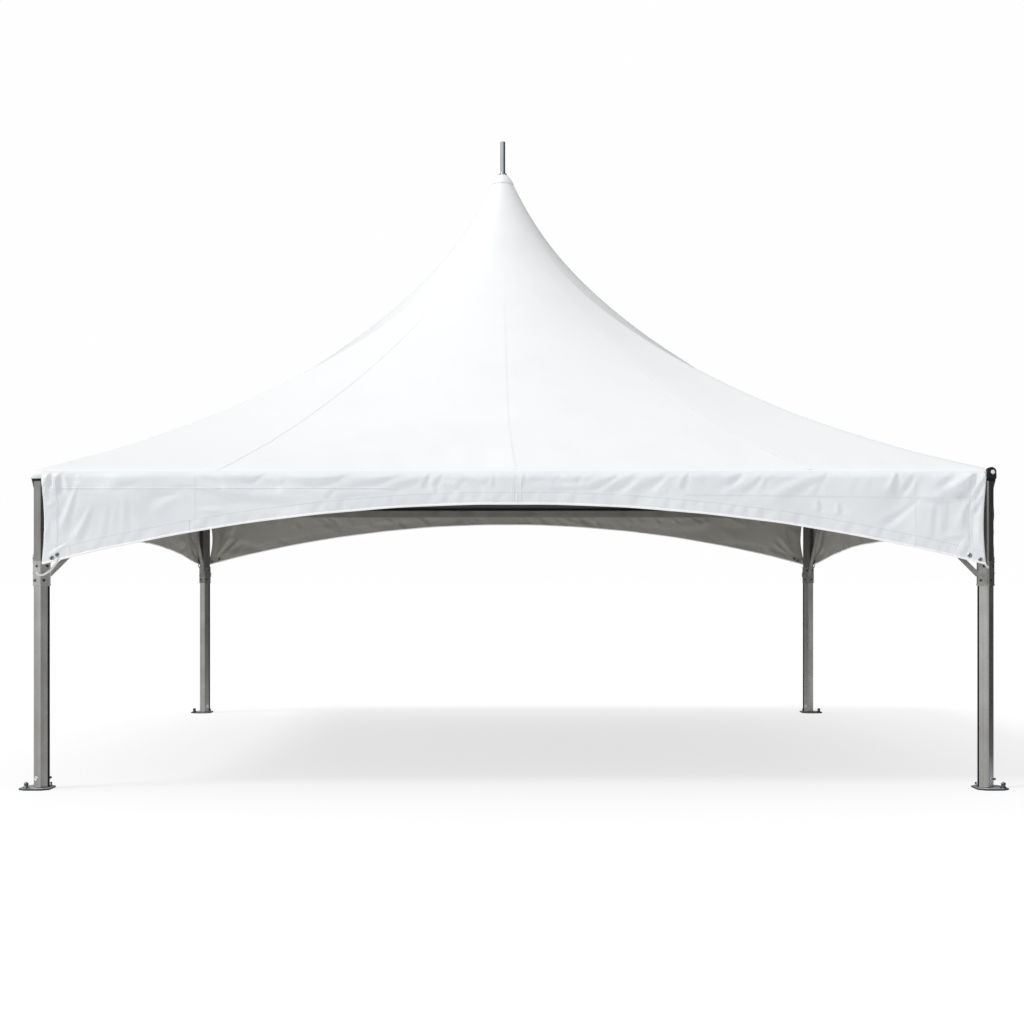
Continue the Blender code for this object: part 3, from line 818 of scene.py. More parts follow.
def strip_tree() -> NodeTree:
    """Make and return the tree that sweeps hems, laps, straps and weld beads along lines."""
    tree, start = new_tree("swept_strip", {
        "width": ("NodeSocketFloat", 0.02), "thickness": ("NodeSocketFloat", 0.001),
        "sides": ("NodeSocketInt", 8), "flat": ("NodeSocketBool", False)})
    line = add_node(tree, "GeometryNodeMeshToCurve", {"Mesh": start.outputs["geometry"]})
    normal = add_node(tree, "GeometryNodeInputNamedAttribute", {"Name": "surface_normal"},
                      data_type="FLOAT_VECTOR")
    steered = add_node(tree, "GeometryNodeSetCurveNormal", {
        "Curve": line, "Normal": normal}, mode="FREE")
    circle = add_node(tree, "GeometryNodeCurvePrimitiveCircle", {
        "Resolution": start.outputs["sides"], "Radius": 0.5})
    size = add_node(tree, "ShaderNodeCombineXYZ", {
        "X": start.outputs["thickness"], "Y": start.outputs["width"], "Z": 1.0})
    oval = add_node(tree, "GeometryNodeTransform", {"Geometry": circle, "Scale": size})
    bar = add_node(tree, "GeometryNodeCurvePrimitiveQuadrilateral", {
        "Width": start.outputs["thickness"], "Height": start.outputs["width"]})
    section = add_node(tree, "GeometryNodeSwitch", {
        "Switch": start.outputs["flat"], "False": oval, "True": bar},
        input_type="GEOMETRY")
    swept = add_node(tree, "GeometryNodeCurveToMesh", {
        "Curve": steered, "Profile Curve": section, "Fill Caps": True})
    round_one = add_node(tree, "FunctionNodeBooleanMath", {0: start.outputs["flat"]}, operation="NOT")
    return end_tree(tree, start, swept, round_one)


def stitch_tree() -> NodeTree:
    """Make and return the tree that lays stitches along lines at an even pitch."""
    tree, start = new_tree("stitch_row", {
        "pitch": ("NodeSocketFloat", 0.012), "length": ("NodeSocketFloat", 0.008),
        "thread": ("NodeSocketFloat", 0.0012)})
    line = add_node(tree, "GeometryNodeMeshToCurve", {"Mesh": start.outputs["geometry"]})
    even = add_node(tree, "GeometryNodeResampleCurve", {
        "Curve": line, "Length": start.outputs["pitch"]}, mode="LENGTH")
    normal = add_node(tree, "GeometryNodeInputNamedAttribute", {"Name": "surface_normal"},
                      data_type="FLOAT_VECTOR")
    tangent = add_node(tree, "GeometryNodeInputTangent")
    lengthwise = add_node(tree, "FunctionNodeAlignRotationToVector", {"Vector": tangent}, axis="X")
    upright = add_node(tree, "FunctionNodeAlignRotationToVector", {
        "Rotation": lengthwise, "Vector": normal}, axis="Z", pivot_axis="X")
    stitch = add_node(tree, "GeometryNodeMeshIcoSphere", {"Radius": 0.5, "Subdivisions": 1})
    size = add_node(tree, "ShaderNodeCombineXYZ", {
        "X": start.outputs["length"], "Y": start.outputs["thread"], "Z": start.outputs["thread"]})
    laid = add_node(tree, "GeometryNodeInstanceOnPoints", {
        "Points": even, "Instance": stitch,
        "Rotation": upright, "Scale": size})
    return end_tree(tree, start, laid)


def fixing_tree() -> NodeTree:
    """Make and return the tree that sets a small part at points, facing outward."""
    tree, start = new_tree("set_fixings", {"part": ("NodeSocketObject", None)})
    facing = add_node(tree, "GeometryNodeInputNamedAttribute", {"Name": "facing"},
                      data_type="FLOAT_VECTOR")
    turned = add_node(tree, "FunctionNodeAlignRotationToVector", {"Vector": facing}, axis="Z")
    part = add_node(tree, "GeometryNodeObjectInfo", {"Object": start.outputs["part"]})
    spots = add_node(tree, "GeometryNodeMeshToPoints", {"Mesh": start.outputs["geometry"]})
    placed = add_node(tree, "GeometryNodeInstanceOnPoints", {
        "Points": spots, "Instance": part.outputs["Geometry"],
        "Rotation": turned})
    return end_tree(tree, start, placed, False)


def rope_tree() -> NodeTree:
    """Make and return the tree that lays the strands of a wire rope round straight lines."""
    tree, start = new_tree("wire_rope", {
        "strands": ("NodeSocketInt", 6), "rope radius": ("NodeSocketFloat", 0.006),
        "lay": ("NodeSocketFloat", 0.075)})
    line = add_node(tree, "GeometryNodeMeshToCurve", {"Mesh": start.outputs["geometry"]})
    sockets = {socket.name: socket for socket in start.outputs}
    solve(tree, sockets, ("step", "DIVIDE", "lay", 8.0), ("ring", "MULTIPLY", "rope radius", 0.64),
          ("wire", "MULTIPLY", "rope radius", 0.36))
    even = add_node(tree, "GeometryNodeResampleCurve", {
        "Curve": line, "Length": sockets["step"]}, mode="LENGTH")
    copies = add_node(tree, "GeometryNodeDuplicateElements", {
        "Geometry": even, "Amount": sockets["strands"]}, domain="SPLINE")
    sockets["length"] = add_node(tree, "GeometryNodeSplineParameter").outputs["Length"]
    sockets["copy"] = copies.outputs["Duplicate Index"]
    solve(tree, sockets, ("turns", "DIVIDE", "length", "lay"), ("share", "DIVIDE", "copy", "strands"),
          ("total", "ADD", "turns", "share"), ("angle", "MULTIPLY", "total", 2 * math.pi))
    tangent = add_node(tree, "GeometryNodeInputTangent")
    swing = add_node(tree, "ShaderNodeVectorRotate", {
        "Vector": (0.0, 0.0, 1.0), "Axis": tangent, "Angle": sockets["angle"]},
        rotation_type="AXIS_ANGLE")
    offset = add_node(tree, "ShaderNodeVectorMath", {
        0: swing, "Scale": sockets["ring"]}, operation="SCALE")
    moved = add_node(tree, "GeometryNodeSetPosition", {"Geometry": copies, "Offset": offset})
    section = add_node(tree, "GeometryNodeCurvePrimitiveCircle", {
        "Resolution": 5, "Radius": sockets["wire"]})
    swept = add_node(tree, "GeometryNodeCurveToMesh", {
        "Curve": moved, "Profile Curve": section, "Fill Caps": True})
    return end_tree(tree, start, swept)


def roof_tree() -> NodeTree:
    """Make and return the tree that lofts the roof: round at the peak, square at the eave.

    Its geometry is the roof's profile, with the distance from the mast as x and the height as z.
    Each ring's reach grows from a circle to a square as the profile runs out to the legs.
    """
    tree, start = new_tree("roof_loft", {
        "columns": ("NodeSocketInt", 96), "leg axis": ("NodeSocketFloat", LEG_AXIS),
        "round radius": ("NodeSocketFloat", 0.122), "squaring power": ("NodeSocketFloat", 1.5),
        "corner cut": ("NodeSocketFloat", 0.0047), "corner sharpness": ("NodeSocketFloat", 60.0),
        "crowding": ("NodeSocketFloat", 0.25), "peak shift": ("NodeSocketFloat", PEAK_SHIFT),
        "shift power": ("NodeSocketFloat", SHIFT_POWER)})
    sockets = {socket.name: socket for socket in start.outputs}
    sockets["rings"] = add_node(tree, "GeometryNodeAttributeDomainSize", {
        "Geometry": sockets["geometry"]}, component="MESH").outputs["Point Count"]
    sockets["index"] = add_node(tree, "GeometryNodeInputIndex")
    solve(
        tree, sockets,
        ("all columns", "MULTIPLY", "columns", 4.0),
        ("grid columns", "ADD", "all columns", 1.0),
        ("ring", "FLOORED_MODULO", "index", "rings"),
        ("row share", "DIVIDE", "index", "rings"),
        ("column", "FLOOR", "row share"),
        ("quarters", "DIVIDE", "column", "columns"),
        ("side", "FLOOR", "quarters"),
        ("side share", "FRACT", "quarters"),
        ("from middle", "MULTIPLY_ADD", "side share", 2.0, -1.0),
        ("squared", "MULTIPLY", "from middle", "from middle"),
        ("slack", "SUBTRACT", 1.0, "squared"),
        ("crowd", "MULTIPLY_ADD", "slack", "crowding", 1.0),
        ("across", "MULTIPLY", "from middle", "crowd"),
        ("turn", "ARCTANGENT", "across"),
        ("side turn", "MULTIPLY", "side", math.pi / 2),
        ("angle", "ADD", "side turn", "turn"),
        ("cosine", "COSINE", "angle"),
        ("sine", "SINE", "angle"),
        ("square reach", "COSINE", "turn"),
    )
    grid = add_node(tree, "GeometryNodeMeshGrid", {
        "Size X": 1.0, "Size Y": 1.0, "Vertices X": sockets["grid columns"],
        "Vertices Y": sockets["rings"]})
    here = add_node(tree, "GeometryNodeInputPosition")
    profile = add_node(tree, "GeometryNodeSampleIndex", {
        "Geometry": start.outputs["geometry"], "Value": here,
        "Index": sockets["ring"]}, data_type="FLOAT_VECTOR")
    axes = add_node(tree, "ShaderNodeSeparateXYZ", {0: profile})
    sockets["distance"], sockets["height"] = axes.outputs["X"], axes.outputs["Z"]
    solve(
        tree, sockets,
        ("beyond", "SUBTRACT", "distance", "round radius"),
        ("span", "SUBTRACT", "leg axis", "round radius"),
        ("share", "DIVIDE", "beyond", "span"),
        ("floor share", "MAXIMUM", "share", 0.0),
        ("capped share", "MINIMUM", "floor share", 1.0),
        ("squaring", "POWER", "capped share", "squaring power"),
        ("corner reach", "DIVIDE", 1.0, "square reach"),
        ("excess", "SUBTRACT", "corner reach", 1.0),
        ("stretch", "MULTIPLY_ADD", "excess", "squaring", 1.0),
        ("edge", "ABSOLUTE", "across"),
        ("near corner", "POWER", "edge", "corner sharpness"),
        ("cut", "MULTIPLY", "near corner", "corner cut"),
        ("cut here", "MULTIPLY", "cut", "squaring"),
        ("kept", "SUBTRACT", 1.0, "cut here"),
        ("reach", "MULTIPLY", "distance", "stretch"),
        ("true reach", "MULTIPLY", "reach", "kept"),
        ("leg share", "DIVIDE", "distance", "leg axis"),
        ("capped leg share", "MINIMUM", "leg share", 1.0),
        ("faded", "POWER", "capped leg share", "shift power"),
        ("following", "SUBTRACT", 1.0, "faded"),
        ("shift", "MULTIPLY", "following", "peak shift"),
        ("x", "MULTIPLY_ADD", "true reach", "cosine", "shift"),
        ("y", "MULTIPLY", "true reach", "sine"),
    )
    point = add_node(tree, "ShaderNodeCombineXYZ", {
        "X": sockets["x"], "Y": sockets["y"], "Z": sockets["height"]})
    placed = add_node(tree, "GeometryNodeSetPosition", {"Geometry": grid, "Position": point})
    closed = add_node(tree, "GeometryNodeMergeByDistance", {"Geometry": placed, "Distance": 0.1 * MM})
    return end_tree(tree, start, closed)


def dress(piece: Object, slot: str | None = None, *nodes: str) -> Object:
    """Make a piece ride on the tent, and hide the nodes that it stands for.

    Args:
        piece: The piece.
        slot: Not used.
        nodes: The CAD nodes that it replaces.

    Returns:
        The same piece.
    """
    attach(piece, BODY)
    if nodes:
        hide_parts(*nodes)
    LOG.info("%s: %d faces", piece.name, len(piece.data.polygons))
    return piece


def thicken(piece: Object, thickness: float) -> None:
    """Give an open sheet its thickness inward, with its last finish on the inner face.

    Args:
        piece: The sheet.
        thickness: Its thickness.
    """
    wall = piece.modifiers.new("cloth", "SOLIDIFY")
    wall.thickness = thickness
    wall.offset = -1.0
    wall.material_offset = len(piece.data.materials) - 1


@dataclass(frozen=True)
class Fold:
    """One fold in the cloth: a crest on the side of the light, and a hollow beyond its middle line.

    Attributes:
        start: Where it starts, as distance along the side and height.
        end: The same where it runs out.
        bow: How far its middle lies off the straight line, towards the light.
        width: From its middle line to its crest.
        strength: How dark its middle line looks; below 0 it looks bright.
    """

    start: tuple[float, float]
    end: tuple[float, float]
    bow: float
    width: float
    strength: float

    def relief(self, along: np.ndarray, height: np.ndarray) -> np.ndarray:
        """Return how far this fold lifts the cloth at each place.

        Args:
            along: Distance along the side.
            height: Height above ground.

        Returns:
            The lift in metres. It widens towards its end, and fades at both ends.
        """
        run = (self.end[0] - self.start[0], self.end[1] - self.start[1])
        length = math.hypot(*run)
        facing = (LIGHT_SIDE[0] * -run[1] + LIGHT_SIDE[1] * run[0]) / length
        turn = math.copysign(1.0 / length, facing)
        right, up = along - self.start[0], height - self.start[1]
        share = (right * run[0] + up * run[1]) / length ** 2
        off = (up * run[0] - right * run[1]) * turn - self.bow * (1 - (2 * share - 1) ** 2)
        width = self.width * (0.65 + 0.8 * np.clip(share, 0.0, 1.0))
        taper = np.exp(-1.4 * np.where(share < 0.5, 0.85 * (1 - 2 * share), 2 * share - 1) ** 4)
        slope = FOLD_SLOPE * self.strength / max(abs(facing), 0.5)
        steep = np.clip(off / width, -6.0, 6.0)
        return slope * width * steep * np.exp(0.5 - 0.5 * steep ** 2) * taper


@dataclass
class Valance:
    """The cloth that hangs from one eave, with its hem, seams, patches, grommets and ties.

    Attributes:
        shop: The workshop with the trees and finishes.
        side: The side it hangs on.
        middle_z: Height of its lower edge at the middle.
        end_z: Height of its lower edge at the ends.
        power: How round the arch is.
        seed: Starts its folds.
        ties: How its left and right corners are tied.
        half: Half of its length.
        pull: How far its free ends are pulled in between the ties.
        reach: How far its left and right ends hang out past their cut.
        tuck: How far, from 0 to 1, its ties draw its ends in against the legs.
        tuck_depth: How far in the ties draw an end that is tucked.
        swell: How far it bulges out just below the eave.
        welds: Place along the side and sideways tilt of each upright weld.
        white_welds: Place of each weld drawn as a bright line in the roof's whiter finish, a painted
            highlight.
        seam_welds: Start, end and upward tilt of each stretch of the seam below the eave.
        hem_welds: Place and sideways tilt of each short weld in the hem.
        roll_centre_z: Height of the middle of the eave's roll.
        lap_angle: How far up the roll its upper edge laps, in degrees.
        proud: How far its face stands out from the roof's.
        thickness: The cloth's thickness.
        hem: Height of the hem's strip.
        columns: How many faces it has along the side.
        rows: One more than the rows of faces above the hem.
        corner_folds: How many folds fan out from each corner, where they are drawn at random.
        cloth_folds: How many lie in the open cloth there.
        folds: Its folds.
    """

    shop: Workshop
    side: Side
    middle_z: float
    end_z: float
    power: float
    seed: int
    ties: tuple[Tie, Tie] = (Tie.SHORT, Tie.SHORT)
    half: float = 3.03
    pull: float = 0.016
    reach: tuple[float, float] = (0.0, 0.0)
    tuck: float = 0.0
    tuck_depth: float = 15 * MM
    swell: float = 15 * MM
    welds: tuple[tuple[float, float], ...] = (
        (-2.945, -0.35), (-2.047, 0.08), (-0.003, -0.3), (0.045, -0.15), (2.577, 0.08), (2.936, 0.3))
    white_welds: tuple[float, ...] = (-2.955, -0.013, 2.947)
    seam_welds: tuple[tuple[float, float, float], ...] = ((-3.028, -0.75, 0.45), (1.10, 3.028, -0.30))
    hem_welds: tuple[tuple[float, float], ...] = ((-2.082, 0.6), (0.020, -0.6))
    roll_centre_z: float = 2.021
    lap_angle: float = 52.0
    proud: float = 1.6 * MM
    thickness: float = 1.4 * MM
    hem: float = 0.080
    columns: int = 520
    rows: int = 44
    corner_folds: int = 9
    cloth_folds: int = 22
    folds: list[Fold] = field(default_factory=list)

    def bottom(self, along: np.ndarray | float) -> np.ndarray:
        """Return the height of the lower edge, an arch with a slight ripple.

        Args:
            along: Distance along the side.

        Returns:
            The height there.
        """
        share = np.clip(np.abs(along) / self.half, 0.0, 1.0) ** self.power
        ripple = 1.3 * MM * np.sin(along * 9.1 + self.seed) * np.sin(along * 3.7 - self.seed)
        return self.middle_z - (self.middle_z - self.end_z) * share + ripple

    def seam_z(self, along: np.ndarray) -> np.ndarray:
        """Return the height of the welded seam below the eave, which drops to the right."""
        return 1.938 - 0.048 * smooth_step(-1.0, 1.0, along) - 0.018 * smooth_step(1.0, 3.0, along)

    def read_folds(self) -> None:
        """Take this side's folds from the list that was read off the photograph."""
        for x_0, y_0, x_1, y_1, bow, width, strength in FRONT_FOLDS:
            start, end = (((x - MIDDLE_COLUMN) / VALANCE_PIXELS,
                           EYE_HEIGHT + (HORIZON_ROW - y) / VALANCE_PIXELS)
                          for x, y in ((x_0, y_0), (x_1, y_1)))
            self.folds.append(Fold(start, end, bow / VALANCE_PIXELS, width / VALANCE_PIXELS,
                                   strength))

    def crumple(self) -> None:
        """Draw the folds of a side that isn't seen: from the eave, the corners and the cloth."""
        draw = random.Random(self.seed)
        along = -self.half + 0.10
        while along < self.half - 0.05:
            reach = draw.uniform(-0.04, 0.26)
            drop = draw.uniform(0.07, 0.14)
            self.folds.append(Fold(
                (along, LIP_Z), (along - reach, LIP_Z - drop), draw.uniform(-0.016, 0.006),
                draw.uniform(0.014, 0.026), draw.uniform(0.5, 1.6)))
            along += draw.uniform(0.08, 0.26)
        for sign in (-1, 1):
            for _ in range(self.corner_folds):
                slope = math.radians(draw.uniform(12, 80))
                near, far = draw.uniform(0.08, 0.16), draw.uniform(0.25, 0.45)
                ends = [(sign * (self.half - 0.05 - reach * math.cos(slope)),
                         self.end_z + 0.04 + reach * math.sin(slope)) for reach in (near, far)]
                self.folds.append(Fold(*ends, draw.uniform(-0.01, 0.01), draw.uniform(0.012, 0.024),
                                       draw.choice((-1.0, 0.9, 0.7))))
        for _ in range(self.cloth_folds):
            along, height = draw.uniform(-self.half, self.half), draw.uniform(1.60, 1.93)
            reach, drop = draw.uniform(0.12, 0.34), draw.uniform(-0.04, 0.16)
            self.folds.append(Fold((along, height), (along - reach, height - drop),
                                   draw.uniform(-0.012, 0.012), draw.uniform(0.020, 0.040),
                                   draw.choice((-0.6, 0.5, 0.7))))

    def pucker_hem(self) -> None:
        """Draw the small slanting folds that the hem's seam pulls into its strip."""
        draw = random.Random(self.seed + 1)
        along = -self.half + 0.05
        while along < self.half - 0.04:
            low = float(self.bottom(along))
            self.folds.append(Fold(
                (along + draw.uniform(0.02, 0.07), low + self.hem - 0.004), (along, low + 0.010), 0.0,
                draw.uniform(0.016, 0.028), draw.choice((-0.5, 0.3, 0.4, 0.7))))
            along += draw.uniform(0.05, 0.15)

    def relief(self, along: np.ndarray, height: np.ndarray) -> np.ndarray:
        """Return how far the cloth stands out from its plane.

        Args:
            along: Distance along the side.
            height: Height above ground.

        Returns:
            The distance in metres: folds and a slow wave, a bulge below the eave, ends that are
            tucked in, no deeper than the legs allow, and the step of the hem's second layer.
        """
        room = LIP_Z - height
        total = np.zeros(np.broadcast(along, height).shape)
        for fold in self.folds:
            total = total + fold.relief(along, height)
        total = total + 5 * MM * np.sin(along * 2.4 + self.seed) * smooth_step(0.0, 0.25, room)
        total = total * (1.0 - smooth_step(2.026, 2.047, height))
        swell = self.swell + 5 * MM * np.sin(along * 7.3 + self.seed) * np.sin(along * 3.1)
        tucked = smooth_step(self.half - 0.30, self.half, np.abs(along)) * self.tuck
        bulge = swell * (1.0 - tucked) * smooth_step(-0.047, -0.001, room)
        total = total - self.tuck_depth * tucked * smooth_step(0.0, 0.06, room)
        total = total + bulge * (1.0 - 0.6 * smooth_step(0.05, 0.40, room))
        limit = (0.3 + 6.7 * smooth_step(0.0, 0.012, room) + 10 * smooth_step(0.03, 0.08, room)) * MM
        above = height - self.bottom(along)
        hem_step = 1.1 * MM * (1.0 - smooth_step(self.hem - 3 * MM, self.hem + 3 * MM, above))
        return np.maximum(total, -limit) + hem_step

    def edge_shift(self, along: np.ndarray, height: np.ndarray) -> np.ndarray:
        """Return how far the free ends hang out past their cut, or are pulled in by their ties.

        Args:
            along: Distance along the side.
            height: Height above ground.

        Returns:
            The shift along the side, which fades out half a metre from each end.
        """
        near = np.sign(along) * smooth_step(2.55, self.half, np.abs(along))
        depth = np.clip((LIP_Z - height) / (LIP_Z - self.end_z), 0.0, 1.0)
        reach = np.where(along < 0, *self.reach) * smooth_step(0.0, 0.15, depth)
        return near * (reach - self.pull * np.sin(np.pi * depth))

    def surface(self, along: np.ndarray, height: np.ndarray, lift: float = 0.0) -> Line:
        """Return points of the cloth's outer face and its normals there.

        Args:
            along: Distance along the side.
            height: Height above ground, below the eave's roll.
            lift: How far above the cloth's face the points are.

        Returns:
            Points and unit normals in the frame.
        """
        step = 2 * MM

        def at(a: np.ndarray, h: np.ndarray) -> np.ndarray:
            """Return the cloth's own point for a place on its flat cut."""
            return self.side.place(a + self.edge_shift(a, h),
                                   EAVE_HALF + self.proud + self.relief(a, h), h)

        along, height = np.broadcast_arrays(np.asarray(along, float), np.asarray(height, float))
        across = at(along + step, height) - at(along - step, height)
        upward = at(along, height + step) - at(along, height - step)
        normal = np.cross(across, upward)
        normal /= np.linalg.norm(normal, axis=-1, keepdims=True)
        return at(along, height) + lift * normal, normal

    def build_cloth(self) -> Object:
        """Make the cloth as one sheet from its lap on the roll down to the hem.

        Returns:
            The cloth.
        """
        along = np.linspace(-self.half, self.half, self.columns + 1)
        lift = ROLL_RADIUS + self.proud
        rows = []
        for angle in np.radians(np.linspace(self.lap_angle, 0.0, 9))[:-1]:
            height = self.roll_centre_z + lift * math.sin(angle)
            out = EAVE_HALF - ROLL_RADIUS + lift * math.cos(angle)
            rows.append(self.side.place(along, out + self.relief(along, height), height))
        low = self.bottom(along)
        for share in np.linspace(0.0, 1.0, self.rows - 8)[:-1]:
            height = self.roll_centre_z + (low + self.hem + 4 * MM - self.roll_centre_z) * share
            rows.append(self.surface(along, height)[0])
        for above in (1.05, 0.95, 0.82, 0.69, 0.56, 0.43, 0.30, 0.17, 0.04, 0.0):
            rows.append(self.surface(along, low + above * self.hem)[0])
        name, count = f"{self.side.label}_valance_cloth", len(rows)
        mesh = mesh_from(name, np.concatenate(rows), grid_faces(count, len(along), turned=True))
        down = np.repeat(np.linspace(0.55, 0.0, count), len(along))
        chart_cloth(mesh, np.stack([np.tile(along, count), down], axis=-1))
        mesh.shade_smooth()
        # The outer face gets the greyer valance finish, a painted shade; the inner face the grey coat,
        # part block-out coat, part painted shade
        cloth = link_object(name, mesh, self.shop.finishes["valance_pvc_coated_polyester"],
                            self.shop.finishes["grey_block_out_coating"])
        thicken(cloth, self.thickness)
        return dress(cloth, "valance_fabric", f"{self.side.label}_valance")

    def along_line(self, height_of: Callable[[np.ndarray], np.ndarray], low: float, high: float,
                   count: int, lift: float) -> Line:
        """Return a line along the side at a height that follows a rule."""
        along = np.linspace(low, high, count)
        return self.surface(along, height_of(along), lift)

    def down_line(self, along: float, top: float, above: float, lift: float) -> Line:
        """Return a line straight down the cloth, to a distance above its lower edge."""
        height = np.linspace(top, float(self.bottom(along)) + above, 40)
        return self.surface(np.full_like(height, along), height, lift)

    def tilted(self, line: Line, sideways: float, upward: float) -> Line:
        """Tilt a line's normals, so that a flat strip on it takes a shade of its own."""
        normal = line[1] + self.side.place(sideways, 0.0, upward)
        return line[0], normal / np.linalg.norm(normal, axis=-1, keepdims=True)

    def build_trim(self) -> list[Object]:
        """Make the hem's rolled edge, the welded laps, the stitches and the patches.

        Returns:
            The pieces.
        """
        label, reach = self.side.label, self.half - 2 * MM
        # The rolled edge gets the whitest finish, a painted highlight along the hem
        edge = self.along_line(lambda a: self.bottom(a) + 3 * MM, -reach, reach, 300, -0.4 * MM)
        rolled = self.shop.strip(f"{label}_hem_rolled_edge", [edge], "hem_piping_pvc",
                                 15 * MM, 10 * MM, 10)
        welds = [self.tilted(self.along_line(self.seam_z, low, high, 200, 0.8 * MM), 0.0, tilt)
                 for low, high, tilt in self.seam_welds]
        welds += [self.tilted(self.down_line(place, 2.020, 6 * MM, 0.8 * MM), tilt, 0.0)
                  for place, tilt in self.welds]
        for place, tilt in self.hem_welds:
            top = float(self.bottom(place)) + self.hem - 4 * MM
            welds.append(self.tilted(self.down_line(place, top, 6 * MM, 0.9 * MM), tilt, 0.0))
        seams = self.shop.strip(f"{label}_valance_welds", welds, "valance_pvc_coated_polyester",
                                6 * MM, 0.8 * MM, flat=True)
        # These welds are drawn in the roof's whiter finish, a painted highlight along them
        highlight_lines = [self.down_line(place, 2.016, 8 * MM, 0.7 * MM) for place in self.white_welds]
        white = self.shop.strip(f"{label}_whitened_welds", highlight_lines, "roof_pvc_coated_polyester",
                                5 * MM, 0.9 * MM, flat=True)
        row = self.along_line(lambda a: self.bottom(a) + self.hem - 5 * MM, -reach, reach, 420,
                              0.4 * MM)
        stitches = self.shop.run("stitches", polyline_mesh(f"{label}_rows", [row], False),
                                 "grey_bonded_thread", f"{label}_valance_stitches", pitch=12 * MM,
                                 length=9 * MM, thread=1.8 * MM)
        pieces = [rolled, seams, white, stitches, self.build_patches()]
        return [dress(piece, "valance_fabric") for piece in pieces]

    def build_patches(self) -> Object:
        """Make the reinforcing patch at each lower corner.

        Returns:
            The patches, as one piece.
        """
        points, faces = [], []
        wide, tall = 0.185, 0.125
        columns, rows = 44, 30
        for sign in (-1, 1):
            faces += [quad[::-sign] for quad in grid_faces(rows + 1, columns + 1, len(points))]
            for row in range(rows + 1):
                up = row / rows
                run = np.linspace(0.006, wide * (1.0 - 0.22 * up ** 2), columns + 1)
                along = sign * (self.half - run)
                height = self.bottom(along) + 0.007 + up * tall * (1.0 - 0.25 * (run / wide))
                points += list(self.surface(along, height, 0.7 * MM)[0])
        mesh = mesh_from(f"{self.side.label}_corner_patches", points, faces)
        mesh.shade_smooth()
        patches = link_object(mesh.name, mesh, self.shop.finishes["valance_pvc_coated_polyester"])
        thicken(patches, 0.9 * MM)
        return patches

    def build_fixings(self) -> list[Object]:
        """Make the grommets at the corners and the ties down to the collars.

        Returns:
            The pieces.
        """
        label = self.side.label
        ring = turned_mesh("grommet", [
            (5.0, 0.0), (5.6, 1.8), (9.0, 3.0), (13.0, 2.2), (15.5, 0.2), (15.5, -2.4), (5.0, -2.4)],
            20)
        # Each grommet's hole gets a black disc, a painted shade for the dark seen through it
        hole = turned_mesh("hole", [(0.0, 0.0), (5.6, 0.0), (5.6, 0.5), (0.0, 0.5)], 16)
        outer, inner = [], []
        # How far each grommet is in from its end, left ends below 0, and how high above the edge
        for place, above in ((-0.062, 0.023), (-0.094, 0.036), (0.099, 0.031), (0.032, 0.020)):
            along = np.array(math.copysign(self.half - abs(place), place))
            point, normal = self.surface(along, self.bottom(along) + above, 1.2 * MM)
            outer.append((point, normal))
            inner.append((point - normal * (self.thickness + 2.4 * MM), -normal))
        grommets = self.shop.fixings(f"{label}_grommets", ring, outer + inner, "bright_zinc_fixing")
        shade_discs = self.shop.fixings(f"{label}_grommet_holes", hole, outer + inner, "black_powder_coat")
        ties = [self.tie_line(sign, style) for sign, style in zip((-1, 1), self.ties)]
        dark = self.side in (Side.LEFT, Side.RIGHT)
        straps = self.shop.strip(f"{label}_corner_ties", ties,
                                 "black_powder_coat" if dark else "polyester_webbing",
                                 14 * MM, 3 * MM, flat=True)
        return [dress(piece) for piece in (grommets, shade_discs, straps)]

    def tie_line(self, sign: int, style: Tie) -> Line:
        """Return the line of one corner's tie, from its grommet to the collar.

        Args:
            sign: -1 for the left end and 1 for the right.
            style: How the corner is tied.

        Returns:
            The points of the tie and the way that its flat face looks.
        """
        knots = style.value
        spans = np.linspace(0, len(knots) - 1, 33)
        kernel = np.array([1, 2, 3, 2, 1]) / 9
        inward, up, out = (
            np.convolve(np.pad(np.interp(spans, range(len(knots)), column), 2, mode="edge"), kernel,
                        mode="valid") for column in zip(*knots))
        line = self.side.place(sign * (self.half - inward), out - self.tuck_depth * self.tuck,
                               up + self.end_z - FRONT_END_Z)
        return line, self.side.place(0.0, 1.0, 0.0)


